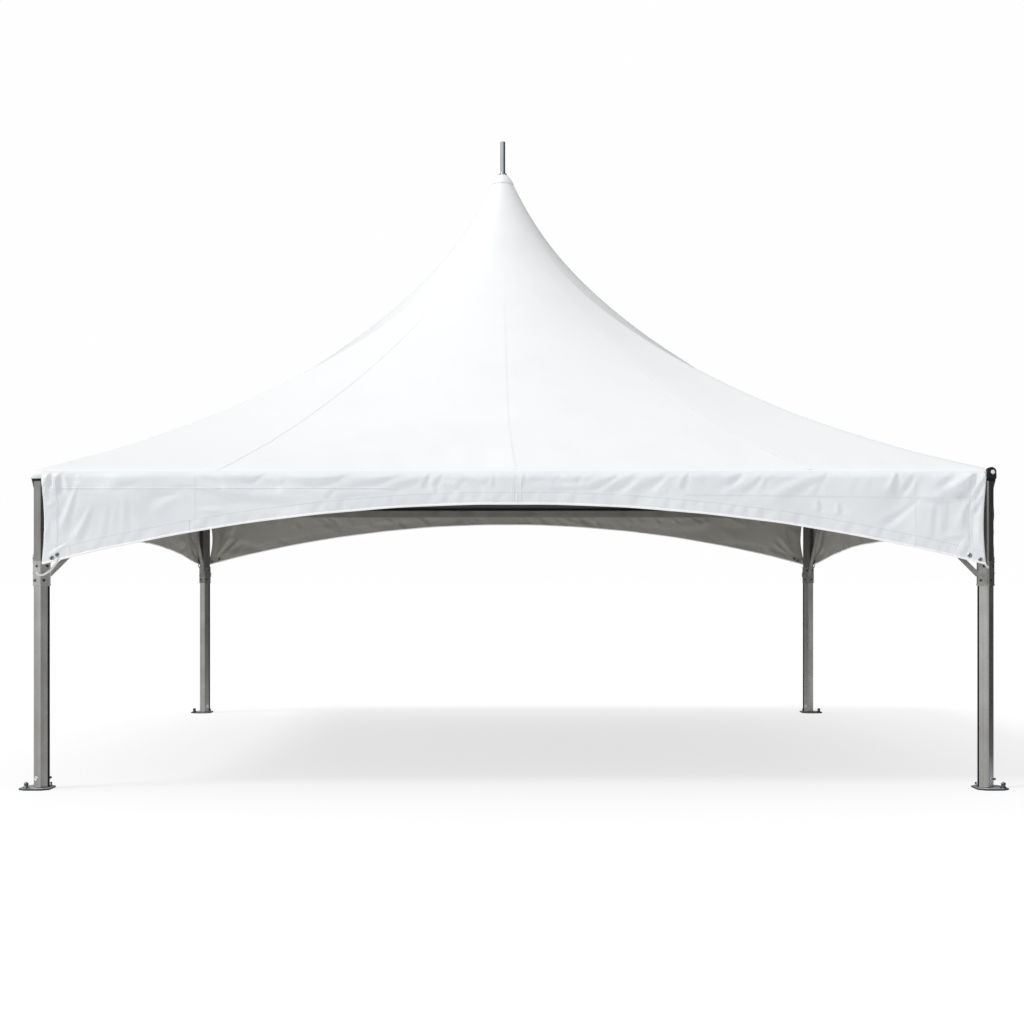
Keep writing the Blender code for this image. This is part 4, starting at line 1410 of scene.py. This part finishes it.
@dataclass
class RoofCanopy:
    """The roof: one welded sheet, pushed up by the mast and rolled over the eave.

    Attributes:
        shop: The workshop with the trees and finishes.
        peak_z: Height at which its section would meet the mast's axis.
        eave_z: Its height over the legs' axes.
        bend: How much steeper it is at the peak than at the eave.
        dish: How much it hollows below the peak.
        dish_power: How close to the peak that hollow is.
        squaring_power: How soon its plan turns from round to square.
        round_radius: Where its plan stops being round.
        corner_cut: How far the plan's corners are cut back.
        corner_sharpness: How close to the corners that cut stays.
        crowding: How much closer the columns are at the corners.
        hole_radius: Radius of the hole that the cap covers.
        rings: How many rings it has from the peak to the eave's roll.
        columns: How many columns each side has.
        thickness: The cloth's thickness.
        laps: Place of each welded lap, from -1 at one hip to 1 at the other.
    """

    shop: Workshop
    peak_z: float = 4.814
    eave_z: float = 2.075
    bend: float = 2.055
    dish: float = 0.733
    dish_power: float = 3.505
    squaring_power: float = 1.5
    round_radius: float = 0.122
    corner_cut: float = 0.0047
    corner_sharpness: float = 60.0
    crowding: float = 0.25
    hole_radius: float = 0.081
    rings: int = 78
    columns: int = 116
    thickness: float = 1.6 * MM
    laps: tuple[float, ...] = (-0.62, 0.0, 0.62)

    @property
    def slope(self) -> float:
        """Return how steep the roof is at the legs."""
        rise = (self.peak_z - self.eave_z) * (1.0 + self.dish)
        return rise / (1.0 + self.bend) / LEG_AXIS

    def height(self, distance: float) -> float:
        """Return the roof's height at a distance from the mast.

        Args:
            distance: The distance, square to a side.

        Returns:
            The height above ground.
        """
        share = min(distance / LEG_AXIS, 1.0)
        sweep = (1.0 + self.dish) * (1.0 - share) / (1.0 + self.bend * share)
        hollow = self.dish * (1.0 - share) ** self.dish_power
        up = self.eave_z + (self.peak_z - self.eave_z) * (sweep - hollow)
        return up - self.slope * max(distance - LEG_AXIS, 0.0)

    def profile(self) -> Profile:
        """Lay out the section from the peak's hole over the eave's roll to the lip.

        Returns:
            Distance and height of each of its points.
        """
        start = math.pi / 2 - math.atan(self.slope)
        centre = EAVE_HALF - ROLL_RADIUS
        roll_start = centre + ROLL_RADIUS * math.cos(start)
        rings = []
        for index in range(self.rings):
            share = (index / self.rings) ** 1.35
            distance = self.hole_radius + share * (roll_start - self.hole_radius)
            rings.append((distance, self.height(distance)))
        centre_z = self.height(roll_start) - ROLL_RADIUS * math.sin(start)
        for step in range(7):
            angle = start * (1.0 - step / 6)
            rings.append((centre + ROLL_RADIUS * math.cos(angle),
                          centre_z + ROLL_RADIUS * math.sin(angle)))
        rings.append((EAVE_HALF, LIP_Z))
        return rings

    def outer_point(self, side: Side, across: np.ndarray, distance: np.ndarray,
                    lift: float = 0.0) -> np.ndarray:
        """Return points of the roof's outer face by the same rule as its tree.

        Args:
            side: The side of the roof.
            across: From -1 at one hip to 1 at the other.
            distance: Distance from the mast, square to the side.
            lift: How far above the face the points are.

        Returns:
            Points in the frame.
        """
        turn = np.arctan(across)
        share = np.clip((distance - self.round_radius) / (LEG_AXIS - self.round_radius), 0, 1)
        squaring = share ** self.squaring_power
        reach = distance * (1.0 + squaring * (1.0 / np.cos(turn) - 1.0))
        height = np.array([self.height(float(d)) for d in np.ravel(distance)])
        height = height.reshape(np.shape(distance))
        points = side.place(reach * np.sin(turn), reach * np.cos(turn), height + lift)
        points[..., 0] += PEAK_SHIFT * (1.0 - np.minimum(distance / LEG_AXIS, 1.0) ** SHIFT_POWER)
        return points

    def build_cloth(self) -> Object:
        """Loft the sheet with Geometry Nodes, then let it give and set its thickness.

        Returns:
            The cloth.
        """
        profile = [(d, 0.0, z) for d, z in self.profile()]
        source = mesh_from("roof_profile", profile,
                           edges=[(i, i + 1) for i in range(len(profile) - 1)])
        roof = self.shop.run("roof", source, "roof_pvc_coated_polyester", "roof_canopy_cloth",
                             columns=self.columns, leg_axis=LEG_AXIS, round_radius=self.round_radius,
                             squaring_power=self.squaring_power, corner_cut=self.corner_cut,
                             corner_sharpness=self.corner_sharpness, crowding=self.crowding)
        self.crease(roof.data)
        # The inner face gets the dark lining, a painted shade under the roof
        roof.data.materials.append(self.shop.finishes["dark_block_out_lining"])
        thicken(roof, self.thickness)
        return dress(roof, "roof_fabric", *(f"{side.label}_roof_panel" for side in Side))

    def give(self, points: np.ndarray) -> tuple[np.ndarray, np.ndarray]:
        """Return how far the taut sheet gives at points on it, and its chart there.

        It hangs in between the laps, waves a little, and puckers along the eave.

        Args:
            points: Points of the smooth sheet.

        Returns:
            The distance out along the normal, and the chart's two numbers.
        """
        turned = np.abs(points[:, 0]) > np.abs(points[:, 1])
        distance = np.maximum(np.abs(points[:, 0]), np.abs(points[:, 1]))
        other = np.where(turned, points[:, 1], points[:, 0])
        quarter = np.where(turned, 1 + np.sign(points[:, 0]), 2 + np.sign(points[:, 1]))
        across = other / np.maximum(distance, 1e-6)
        down = distance / EAVE_HALF
        free = smooth_step(0.12, 0.5, down) * (1.0 - smooth_step(0.955, 0.992, down))
        lap = self.laps[-1]
        sag = -40 * MM * np.abs(across * (across ** 2 - lap ** 2) * (1.0 - across ** 2))
        wave = 2.0 * MM * np.sin(other * 5.3 + quarter * 1.7) * np.sin(down * 9.0 + quarter)
        near_eave = smooth_step(0.80, 0.93, down) * (1.0 - smooth_step(0.965, 0.990, down))
        pucker = 1.6 * MM * np.sin(other * 17.0 + 3 * np.sin(other * 2.3 + quarter)) * near_eave
        chart = np.stack([other + 10 * quarter, np.hypot(distance, points[:, 2])], axis=-1)
        return (sag + wave) * free + pucker, chart

    def crease(self, mesh: Mesh) -> None:
        """Move the sheet's points along their normals as it gives, and chart it.

        Args:
            mesh: The smooth sheet, changed in place.
        """
        count = len(mesh.vertices)
        points = np.zeros(count * 3)
        normals = np.zeros(count * 3)
        mesh.vertices.foreach_get("co", points)
        mesh.vertex_normals.foreach_get("vector", normals)
        points, normals = points.reshape(-1, 3), normals.reshape(-1, 3)
        if (normals * points * (1, 1, 0)).sum() < 0:
            mesh.flip_normals()
            normals = -normals
        give, flat = self.give(points)
        mesh.vertices.foreach_set("co", (points + normals * give[:, None]).ravel())
        chart_cloth(mesh, flat)
        mesh.update()

    def build_laps(self) -> Object:
        """Make the welded laps that run down from the peak, flush there.

        Returns:
            The laps, as one piece.
        """
        lines = []
        for side in Side:
            for across in self.laps:
                distance = np.linspace(0.20, 3.085, 110)
                at = np.full_like(distance, across)
                points = self.outer_point(side, at, distance)
                ahead = self.outer_point(side, at, distance + 2 * MM)
                beside = self.outer_point(side, at - 2 * MM, distance)
                normal = np.cross(ahead - points, beside - points)
                normal /= np.linalg.norm(normal, axis=-1, keepdims=True)
                normal *= np.sign(normal[:, 2:3])
                lift = self.give(points)[0] - 0.7 * MM + 2.0 * MM * smooth_step(0.3, 1.4, distance)
                lines.append((points + normal * lift[:, None], normal))
        laps = self.shop.strip("roof_welded_laps", lines, "roof_pvc_coated_polyester",
                               30 * MM, 1.0 * MM, flat=True)
        return dress(laps, "roof_fabric")


@dataclass
class Peak:
    """The cap over the peak, gathered by a cord under its hem.

    Attributes:
        shop: The workshop with the trees and finishes.
        profile: Radius and height of each ring, from the spike to the hem.
        steps: How many faces go round it.
        pleats: How many pleats the cord gathers.
        pleat_depth: How deep they are.
        thickness: The cloth's thickness.
        cord_radius: Radius of the cord's ring.
        cord_z: Its height.
    """

    shop: Workshop
    profile: tuple[tuple[float, float], ...] = (
        (0.0215, 4.7000), (0.030, 4.6995), (0.036, 4.696), (0.045, 4.688), (0.056, 4.677),
        (0.066, 4.665), (0.074, 4.652), (0.081, 4.640), (0.0862, 4.631), (0.0888, 4.6258),
        (0.0899, 4.6212), (0.0904, 4.6175))
    steps: int = 96
    pleats: int = 22
    pleat_depth: float = 0.9 * MM
    thickness: float = 1.5 * MM
    cord_radius: float = 0.0880
    cord_z: float = 4.6195

    def build(self) -> list[Object]:
        """Make the cap's cloth and the cord in its hem.

        Returns:
            The cap and its cord.
        """
        points, rings = [], len(self.profile)
        for row, (radius, height) in enumerate(self.profile):
            gather = self.pleat_depth * float(smooth_step(0.3, 0.9, np.array(row / (rings - 1))))
            for step in range(self.steps):
                angle = 2 * math.pi * step / self.steps
                wide = radius + gather * (math.cos(self.pleats * angle) - 1.0)
                points.append((PEAK_SHIFT + wide * math.cos(angle), wide * math.sin(angle), height))
        mesh = mesh_from("peak_cap_cloth", points,
                         grid_faces(rings, self.steps, closed=True, turned=True))
        mesh.shade_smooth()
        # Its inner face is the grey coat, part block-out coat, part painted shade
        cap = link_object(mesh.name, mesh, self.shop.finishes["roof_pvc_coated_polyester"],
                          self.shop.finishes["grey_block_out_coating"])
        thicken(cap, self.thickness)
        dress(cap, "cap_fabric", "peak_cap")
        angles = np.linspace(0, 2 * math.pi, 64, endpoint=False)
        around = np.stack([np.cos(angles), np.sin(angles), np.zeros(64)], axis=-1)
        loop = around * self.cord_radius + np.array([PEAK_SHIFT, 0.0, self.cord_z])
        cord = self.shop.strip("peak_cap_hem", [(loop, around)], "roof_pvc_coated_polyester",
                               3 * MM, 3 * MM, 6, closed=True)
        return [cap, dress(cord, "cap_fabric")]


@dataclass
class Legs:
    """The legs' plates, anchors, collars and caps.

    Attributes:
        shop: The workshop with the trees and finishes.
        leg_face: Width of a leg, from face to face.
        leg_clip: How far its edges are clipped, along each face.
        collar_face: Width of a collar, from face to face.
        collar_clip: How far its edges are clipped.
        collar_z: Heights of a collar's lower and upper end.
        plate_z: Height of the plates' upper face.
        brace_bolts: How far in from a leg's axis each bolt of a brace is, and its height.
    """

    shop: Workshop
    leg_face: float = 0.080
    leg_clip: float = 0.009
    collar_face: float = 0.087
    collar_clip: float = 0.011
    collar_z: tuple[float, float] = (1.310, 1.470)
    plate_z: float = 0.010
    brace_bolts: tuple[tuple[float, float], ...] = ((0.084, 1.4147), (0.592, 1.9227))

    def outline(self, corner: Corner, face: float, clip: float, height: float) -> Line:
        """Return the loop round a leg's turned square, with its outward directions.

        Args:
            corner: Which leg.
            face: The square's width.
            clip: How far its edges are clipped.
            height: The loop's height.

        Returns:
            The loop's points and directions.
        """
        half = face / 2
        square = [(half, -half + clip), (half, half - clip), (half - clip, half), (-half + clip, half),
                  (-half, half - clip), (-half, -half + clip), (-half + clip, -half),
                  (half - clip, -half)]
        flat = np.array([((x - y) * COS_45, (x + y) * COS_45) for x, y in square])
        axis = np.array(corner.signs) * LEG_AXIS
        points = np.column_stack([flat + axis, np.full(8, height)])
        outward = np.column_stack([flat / np.linalg.norm(flat, axis=1)[:, None], np.zeros(8)])
        return points, outward

    def build(self) -> None:
        """Make all the pieces on the legs."""
        self.build_grooves()
        self.build_collar_ribs()
        self.build_collar_bolts()
        self.build_brace_bolts()
        self.build_anchors()
        self.build_foot_pins()
        self.build_welds()
        self.build_corner_caps()

    def build_grooves(self) -> None:
        """Make black strips for the channel for side walls down the inner front edge of each lower leg: a
        painted shade in the channel.
        """
        heights = np.linspace(0.016, self.collar_z[0] - 2 * MM, 8)
        reach = self.leg_face / 2
        lines = []
        for corner in Corner:
            inward = -corner.signs[0]
            width = 5 * MM if corner.signs[0] < 0 else 1 * MM
            face = np.array([inward * COS_45, -COS_45, 0.0])
            slope = np.array([inward * COS_45, COS_45, 0.0])
            edge = np.array([float(inward), 0.0, 0.0])
            for point, normal in (
                    (face * reach + slope * (reach - self.leg_clip - width), face),
                    (edge * (self.leg_face - self.leg_clip) * COS_45, edge)):
                foot = np.array(corner.place(0.0, 0.0, 0.0)) + point + normal * 0.3 * MM
                lines.append((np.array([foot + (0.0, 0.0, z) for z in heights]),
                              np.tile(normal, (len(heights), 1))))
        channel_shade = self.shop.strip("leg_wall_channels", lines, "black_powder_coat", 12 * MM, 1.2 * MM,
                                  flat=True)
        dress(channel_shade, "leg_aluminium")

    def build_collar_ribs(self) -> None:
        """Make the cast rims round each collar and the ribs up its edges."""
        low, high = self.collar_z
        reach = (self.collar_face - self.collar_clip) * COS_45
        for corner in Corner:
            # Only the front left collar keeps the paler cast finish; the others get the greyer copy, a
            # painted shade
            front_left_lit = corner is Corner.FRONT_LEFT
            finish = "sand_cast_aluminium" if front_left_lit else "weathered_cast_aluminium"
            rims = [self.outline(corner, self.collar_face + 1 * MM, self.collar_clip, z)
                    for z in (low + 5 * MM, 0.5 * (low + high), high - 5 * MM)]
            rim = self.shop.strip(f"collar_rims_{corner.label}", rims, finish, 9 * MM, 6 * MM,
                                  flat=True, closed=True)
            dress(rim, "collar_casting")
            foot = np.array(corner.place(0.0, 0.0, 0.0))
            ribs = [(np.array([foot + level_way(quarter) * reach + (0.0, 0.0, z)
                               for z in np.linspace(low + 6 * MM, high - 6 * MM, 6)]),
                     level_way(quarter)) for quarter in range(4)]
            rib = self.shop.strip(f"collar_ribs_{corner.label}", ribs, finish, 10 * MM, 5 * MM, flat=True)
            dress(rib, "collar_casting")

    def build_collar_bolts(self) -> None:
        """Make the socket bolts in the collars' faces."""
        socket = turned_mesh("socket_bolt", [
            (0.0, 1.2), (4.6, 1.2), (5.0, 5.2), (8.2, 5.2), (9.2, 4.4), (9.4, -1.0), (0.0, -1.0)], 18)
        places = []
        for corner in Corner:
            for quarter in range(4):
                out, beside = level_way(quarter + 0.5), level_way(quarter + 1.5)
                for height, shift in ((1.437, 0.014), (1.345, -0.010)):
                    foot = np.array(corner.place(0.0, 0.0, height))
                    places.append((foot + out * self.collar_face / 2 + beside * shift, out))
        dress(self.shop.fixings("collar_bolts", socket, places, "dull_zinc_fixing"), "collar_casting")

    def build_brace_bolts(self) -> None:
        """Make the hexagon bolts on both faces of the braces."""
        hexagon = turned_mesh("hexagon_bolt", [
            (0.0, 7.5), (7.0, 7.5), (8.5, 6.4), (8.5, 1.6), (11.0, 1.6), (11.0, -0.5), (0.0, -0.5)], 6)
        places = []
        for side in (Side.FRONT, Side.LEFT, Side.RIGHT):
            for sign in (-1, 1):
                for inward, height in self.brace_bolts:
                    for face in (-1, 1):
                        point = side.place(sign * (LEG_AXIS - inward), LEG_AXIS + face * 12.5 * MM,
                                           height)
                        places.append((point, side.place(0.0, float(face), 0.0)))
        dress(self.shop.fixings("brace_bolts", hexagon, places, "bright_zinc_fixing"), "brace_aluminium")

    def build_anchors(self) -> None:
        """Make the two ground anchors on each plate: a large head outside, a small one inside."""
        head = turned_mesh("anchor_head", [
            (0.0, 39.0), (6.0, 38.4), (11.0, 36.0), (14.6, 31.5), (15.4, 27.0), (14.4, 22.5),
            (12.4, 19.0), (12.4, 14.0), (15.0, 9.0), (19.0, 5.0), (22.0, 3.0), (22.5, 0.0),
            (0.0, 0.0)], 28)
        stud = turned_mesh("anchor_stud", [
            (0.0, 23.0), (4.0, 22.4), (6.6, 20.0), (7.2, 17.0), (6.2, 13.5), (4.8, 11.0), (5.4, 6.0),
            (9.0, 2.5), (10.0, 0.0), (0.0, 0.0)], 24)
        upward = Vector((0, 0, 1))
        heads, studs = [], []
        for corner in Corner:
            away = corner.signs[1]
            out_x = 0.080 if corner is Corner.FRONT_LEFT else 0.094
            heads.append((corner.place(out_x, -0.072 * away, self.plate_z), upward))
            studs.append((corner.place(-0.040, 0.080 * away, self.plate_z), upward))
        for name, part, places in (("ground_anchors", head, heads), ("ground_studs", stud, studs)):
            piece = self.shop.fixings(name, part, places, "blued_anchor_steel")
            piece.data.shade_smooth()
            dress(piece, "plate_steel")

    def build_foot_pins(self) -> None:
        """Make the pin through each foot, with a washer on both faces."""
        washer = turned_mesh("foot_washer", [
            (0.0, 3.0), (7.0, 3.0), (8.0, 5.4), (12.0, 6.4), (15.5, 4.6), (16.5, 1.6), (16.5, -0.5),
            (0.0, -0.5)], 28)
        shaft = turned_mesh("foot_pin", [
            (0.0, 30.0), (5.5, 30.0), (8.0, 27.0), (8.0, 17.0), (5.0, 14.0), (5.0, -0.5),
            (0.0, -0.5)], 20)
        washers, shafts = [], []
        for corner in Corner:
            even = corner.signs[0] * corner.signs[1] > 0
            for quarter in (0.5, 2.5) if even else (1.5, 3.5):
                out = level_way(quarter)
                place = (np.array(corner.place(0, 0, 0.066)) + out * self.leg_face / 2, out)
                washers.append(place)
                if (out[0] if corner.signs[0] > 0 else out[1]) > 0:
                    shafts.append(place)
        # The washers' near-white finish is a painted glint
        dress(self.shop.fixings("foot_washers", washer, washers, "polished_steel_ring"), "leg_aluminium")
        dress(self.shop.fixings("foot_pins", shaft, shafts, "blued_anchor_steel"), "leg_aluminium")

    def build_welds(self) -> None:
        """Make the weld bead where each leg meets its plate."""
        loops = [self.outline(corner, self.leg_face + 3 * MM, self.leg_clip, self.plate_z + 2.5 * MM)
                 for corner in Corner]
        beads = self.shop.strip("foot_welds", loops, "zinc_plated_plate", 7 * MM, 7 * MM, 6, closed=True)
        dress(beads, "plate_steel")

    def build_corner_caps(self) -> None:
        """Make the black hood and bolt that hold the roof's right corners to their castings."""
        bolt = turned_mesh("corner_bolt", [
            (0.0, 10.0), (6.0, 9.4), (11.0, 7.3), (14.0, 3.6), (14.6, 0.0), (14.6, -2.0),
            (0.0, -2.0)], 24)
        half, drop, low_z = 30 * MM, 43 * MM, 6 * MM
        arch = [math.radians(angle) for angle in range(0, 181, 10)]
        outline = [(half * math.cos(a), half * math.sin(a)) for a in arch]
        outline += [(-half, -drop), (half, -drop)]
        # Each ring's size, and how far out from the leg's axis it is: the edge is rounded
        rings = ((1.0, 0.040), (1.0, 0.078), (0.95, 0.084), (0.84, 0.087))
        points, faces, bolts = [], [], []
        for corner in (Corner.FRONT_RIGHT, Corner.BACK_RIGHT):
            start, count = len(points), len(outline)
            for size, out in rings:
                points += [corner.place(0.017 + x * size, out, 2.043 + (z + low_z) * size - low_z)
                           for x, z in outline]
            faces += grid_faces(len(rings), count, start, closed=True)
            faces += [tuple(range(start, start + count)), tuple(range(len(points) - count, len(points)))]
            bolts.append((corner.place(0.022, rings[-1][1], 2.040), Vector((0, corner.signs[1], 0))))
        hood = link_object("corner_caps", face_outward(mesh_from("corner_caps", points, faces)),
                           self.shop.finishes["black_powder_coat"])
        dress(hood, "corner_casting")
        # The bolt's near-white finish is a painted glint
        dress(self.shop.fixings("corner_cap_bolts", bolt, bolts, "polished_steel_ring"), "corner_casting")


@dataclass
class CrossCables:
    """The wire ropes from the mast's foot to the corners, with their fittings.

    Attributes:
        shop: The workshop with the trees and finishes.
        rope_radius: Radius of a rope.
        strands: How many strands it has.
        lay: The length of a strand's full turn.
        foot_z: Height of its end at the mast.
        corner_z: Height of its end at the corner.
        start: How far its inner end is from the mast's axis.
        reach: How far its outer end is from the plan's middle.
    """

    shop: Workshop
    rope_radius: float = 0.006
    strands: int = 6
    lay: float = 0.085
    foot_z: float = 1.990
    corner_z: float = 2.003
    start: float = 0.0603
    reach: float = 4.2670

    def build(self) -> None:
        """Make each rope, its swaged ends and its turnbuckle."""
        for corner in Corner:
            unit = np.array([*corner.signs, 0.0]) * COS_45
            foot = unit * self.start + np.array([PEAK_SHIFT, 0, self.foot_z])
            tip = unit * self.reach + np.array([0, 0, self.corner_z])
            way = (tip - foot) / np.linalg.norm(tip - foot)
            line = mesh_from(f"rope_{corner.label}", [foot, tip], edges=[(0, 1)])
            rope = self.shop.run("rope", line, "galvanised_wire", f"wire_rope_{corner.label}",
                                 strands=self.strands, rope_radius=self.rope_radius, lay=self.lay)
            dress(rope, "cable_steel", f"cross_cable_{corner.label}")
            swage = turned_mesh("swage", [
                (0.0, 0.0), (7.5, 0.0), (9.5, 4.0), (9.5, 62.0), (7.0, 74.0), (0.0, 74.0)], 14)
            buckle = turned_mesh("turnbuckle", [
                (0.0, 0.0), (6.0, 0.0), (6.0, 60.0), (12.0, 66.0), (15.0, 74.0), (15.0, 196.0),
                (12.0, 204.0), (6.0, 210.0), (6.0, 262.0), (0.0, 262.0)], 10)
            for name, part, place in (("rope_swage", swage, (foot, way)),
                                      ("turnbuckle", buckle, (tip, -way))):
                dress(self.shop.fixings(f"{name}_{corner.label}", part, [place], "bright_zinc_fixing"),
                      "cable_steel")


@dataclass
class Studio:
    """The floor, the light and the camera.

    Attributes:
        focal_pixels: The lens's focal length in the photograph's pixels.
        sensor: The sensor's width in millimetres.
        eye: Where the photograph was taken from.
        axis_column: The column of the lens's axis.
    """

    focal_pixels: float = 1671.0
    sensor: float = 36.0
    eye: tuple[float, float, float] = (-0.127, -13.85, EYE_HEIGHT)
    axis_column: float = 494.0

    def build(self) -> None:
        """Set up the floor, the camera and the lights."""
        self.build_floor()
        self.build_camera()
        self.build_world()
        self.build_sun()
        self.build_flags()
        bpy.context.scene.view_settings.view_transform = "Standard"

    def build_floor(self) -> None:
        """Make a pale floor that takes a faint shadow, as a lit paper sweep does."""
        reach = 400.0
        mesh = mesh_from("studio_floor", [(-reach, -reach, 0.0), (reach, -reach, 0.0),
                                          (reach, reach, 0.0), (-reach, reach, 0.0)], [(0, 1, 2, 3)])
        material = bpy.data.materials.new("white_paper_sweep")
        material.use_nodes = True
        tree = material.node_tree
        shader = tree.nodes["Principled BSDF"]
        rays = add_node(tree, "ShaderNodeLightPath")
        glow = add_node(tree, "ShaderNodeMix", {0: rays.outputs["Is Glossy Ray"], 2: 0.70, 3: 0.25})
        feed(tree, shader, {
            "Base Color": (0.28, 0.28, 0.28, 1.0), "Roughness": 1.0, "Specular IOR Level": 0.0,
            "Emission Color": (1.0, 1.0, 1.0, 1.0), "Emission Strength": glow})
        link_object("studio_floor", mesh, material)

    def build_camera(self) -> None:
        """Place the camera where the photograph was taken from."""
        data = bpy.data.cameras.new("photo_camera")
        data.sensor_width = self.sensor
        data.lens = self.focal_pixels * self.sensor / PHOTO_SIDE
        data.shift_x = (PHOTO_SIDE / 2 - self.axis_column) / PHOTO_SIDE
        data.shift_y = (HORIZON_ROW - PHOTO_SIDE / 2) / PHOTO_SIDE
        data.clip_end = 1000.0
        camera = link_object("photo_camera", data)
        camera.location = self.eye
        camera.rotation_euler = (math.pi / 2, 0.0, 0.0)
        bpy.context.scene.camera = camera

    def build_world(self) -> None:
        """Light the tent from white walls that are brighter above and on the left."""
        world = bpy.data.worlds.new("white_studio")
        world.use_nodes = True
        bpy.context.scene.world = world
        tree = world.node_tree
        tree.nodes.clear()
        way = add_node(tree, "ShaderNodeTexCoord").outputs["Generated"]
        # What lights the cloth, and what the metal mirrors, which is darker behind the tent
        shades = []
        for tilt, base in (((-0.34, 0.16, 0.66), 0.40), ((-0.54, -0.42, 0.0), 0.45)):
            dot = add_node(tree, "ShaderNodeVectorMath", {0: way, 1: tilt}, operation="DOT_PRODUCT")
            shade = add_node(tree, "ShaderNodeMath", {0: dot.outputs["Value"], 1: base},
                             operation="ADD")
            shades.append(add_node(tree, "ShaderNodeMath", {0: shade, 1: 0.05}, operation="MAXIMUM"))
        axes = add_node(tree, "ShaderNodeSeparateXYZ", {0: way})
        behind = add_node(tree, "ShaderNodeMapRange", {
            "Value": axes.outputs["Y"], "From Min": 0.35, "From Max": 0.75,
            "To Min": 1.0, "To Max": 0.15})
        mirrored = add_node(tree, "ShaderNodeMath", {0: shades[1], 1: behind}, operation="MULTIPLY")
        rays = add_node(tree, "ShaderNodeLightPath")
        lit = add_node(tree, "ShaderNodeMix", {
            0: rays.outputs["Is Glossy Ray"], 2: shades[0], 3: mirrored})
        seen = add_node(tree, "ShaderNodeMix", {0: rays.outputs["Is Camera Ray"], 2: lit, 3: 0.992})
        glow = add_node(tree, "ShaderNodeBackground", {
            "Color": (1.0, 1.0, 1.0, 1.0), "Strength": seen})
        add_node(tree, "ShaderNodeOutputWorld", {"Surface": glow})

    def build_sun(self) -> None:
        """Add one broad light from the upper left, to give the creases their shading."""
        data = bpy.data.lights.new("soft_key", "SUN")
        data.energy = 1.35
        data.angle = math.radians(16)
        key = link_object("soft_key", data)
        way = Vector((0.58, 0.24, -0.78)).normalized()
        key.rotation_mode = "QUATERNION"
        key.rotation_quaternion = way.to_track_quat("-Z", "Y")

    def build_flags(self) -> None:
        """Stand a black flag beyond each side, which only the shine of the metal shows."""
        material = bpy.data.materials.new("black_flag_cloth")
        material.use_nodes = True
        tree = material.node_tree
        feed(tree, tree.nodes["Principled BSDF"], {
            "Base Color": (0.01, 0.01, 0.01, 1.0), "Roughness": 1.0})
        for name, x, near, far in (("left_flag", -4.3, 0.4, 3.0), ("right_flag", 4.3, -2.9, 2.9)):
            mesh = mesh_from(name, [(x, near, 0.02), (x, far, 0.02), (x, far, 2.6), (x, near, 2.6)],
                             [(0, 1, 2, 3)])
            flag = link_object(name, mesh, material)
            flag.visible_camera = flag.visible_diffuse = flag.visible_shadow = False


def finish_nodes(shop: Workshop) -> None:
    """Give every CAD node that stays shown its own finish, and all but the mast rounded edges.

    Args:
        shop: The workshop with the finishes.
    """
    # Upper posts, beams and all collars but the front left get darker copies of their metals, a painted
    # shade; the plates get sides painted dark
    by_start = {
        "base_plate": "zinc_plated_plate", "lower_leg": "mill_finish_leg_extrusion",
        "upper_post": "anodised_post_extrusion", "leg_collar_front_left": "sand_cast_aluminium",
        "leg_collar": "weathered_cast_aluminium", "corner_fitting": "black_powder_coat",
        "front_eave": "mill_finish_beam_along_x", "back_eave": "mill_finish_beam_along_x",
        "left_eave": "mill_finish_beam_along_y", "right_eave": "mill_finish_beam_along_y",
        "mast_foot": "sand_cast_aluminium", "mast_spike": "polished_spike_rod",
        "mast": "mill_finish_leg_extrusion",
    }
    for name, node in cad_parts.items():
        if node.hide_render:
            continue
        finish = next((by_start[start] for start in by_start if name.startswith(start)),
                      "tumbled_brace_bar")
        node.data.materials.clear()
        node.data.materials.append(shop.finishes[finish])
        if not name.startswith("mast"):
            edge = node.modifiers.new("worn_edge", "BEVEL")
            edge.width = 2.5 * MM
            edge.segments = 2
            edge.limit_method = "ANGLE"


def main() -> None:
    """Build the tent's looks in order, and report each piece."""
    logging.basicConfig(level=logging.INFO, format="%(message)s")
    shop = Workshop()
    shop.stock()
    Studio().build()
    canopy = RoofCanopy(shop)
    roof = canopy.build_cloth()
    roof_trim = [canopy.build_laps()]
    cap = Peak(shop).build()
    for valance in (
        Valance(shop, Side.FRONT, 1.836, FRONT_END_Z, 2.02, 11, ties=(Tie.LONG, Tie.SHORT),
                columns=680, rows=62),
        Valance(shop, Side.BACK, 1.900, 1.495, 2.0, 23, pull=0.042),
        Valance(shop, Side.LEFT, 1.665, 1.490, 2.3, 37, pull=0.004, reach=(0.07, 0.0), tuck=1.0),
        Valance(shop, Side.RIGHT, 1.665, 1.490, 2.3, 41, pull=0.004, reach=(0.0, 0.07), tuck=1.0),
    ):
        if valance.side is Side.FRONT:
            valance.read_folds()
        else:
            valance.crumple()
        valance.pucker_hem()
        cloth = valance.build_cloth()
        valance.build_trim() + valance.build_fixings()
    Legs(shop).build()
    CrossCables(shop).build()
    finish_nodes(shop)


if __name__ == "__main__":
    main()
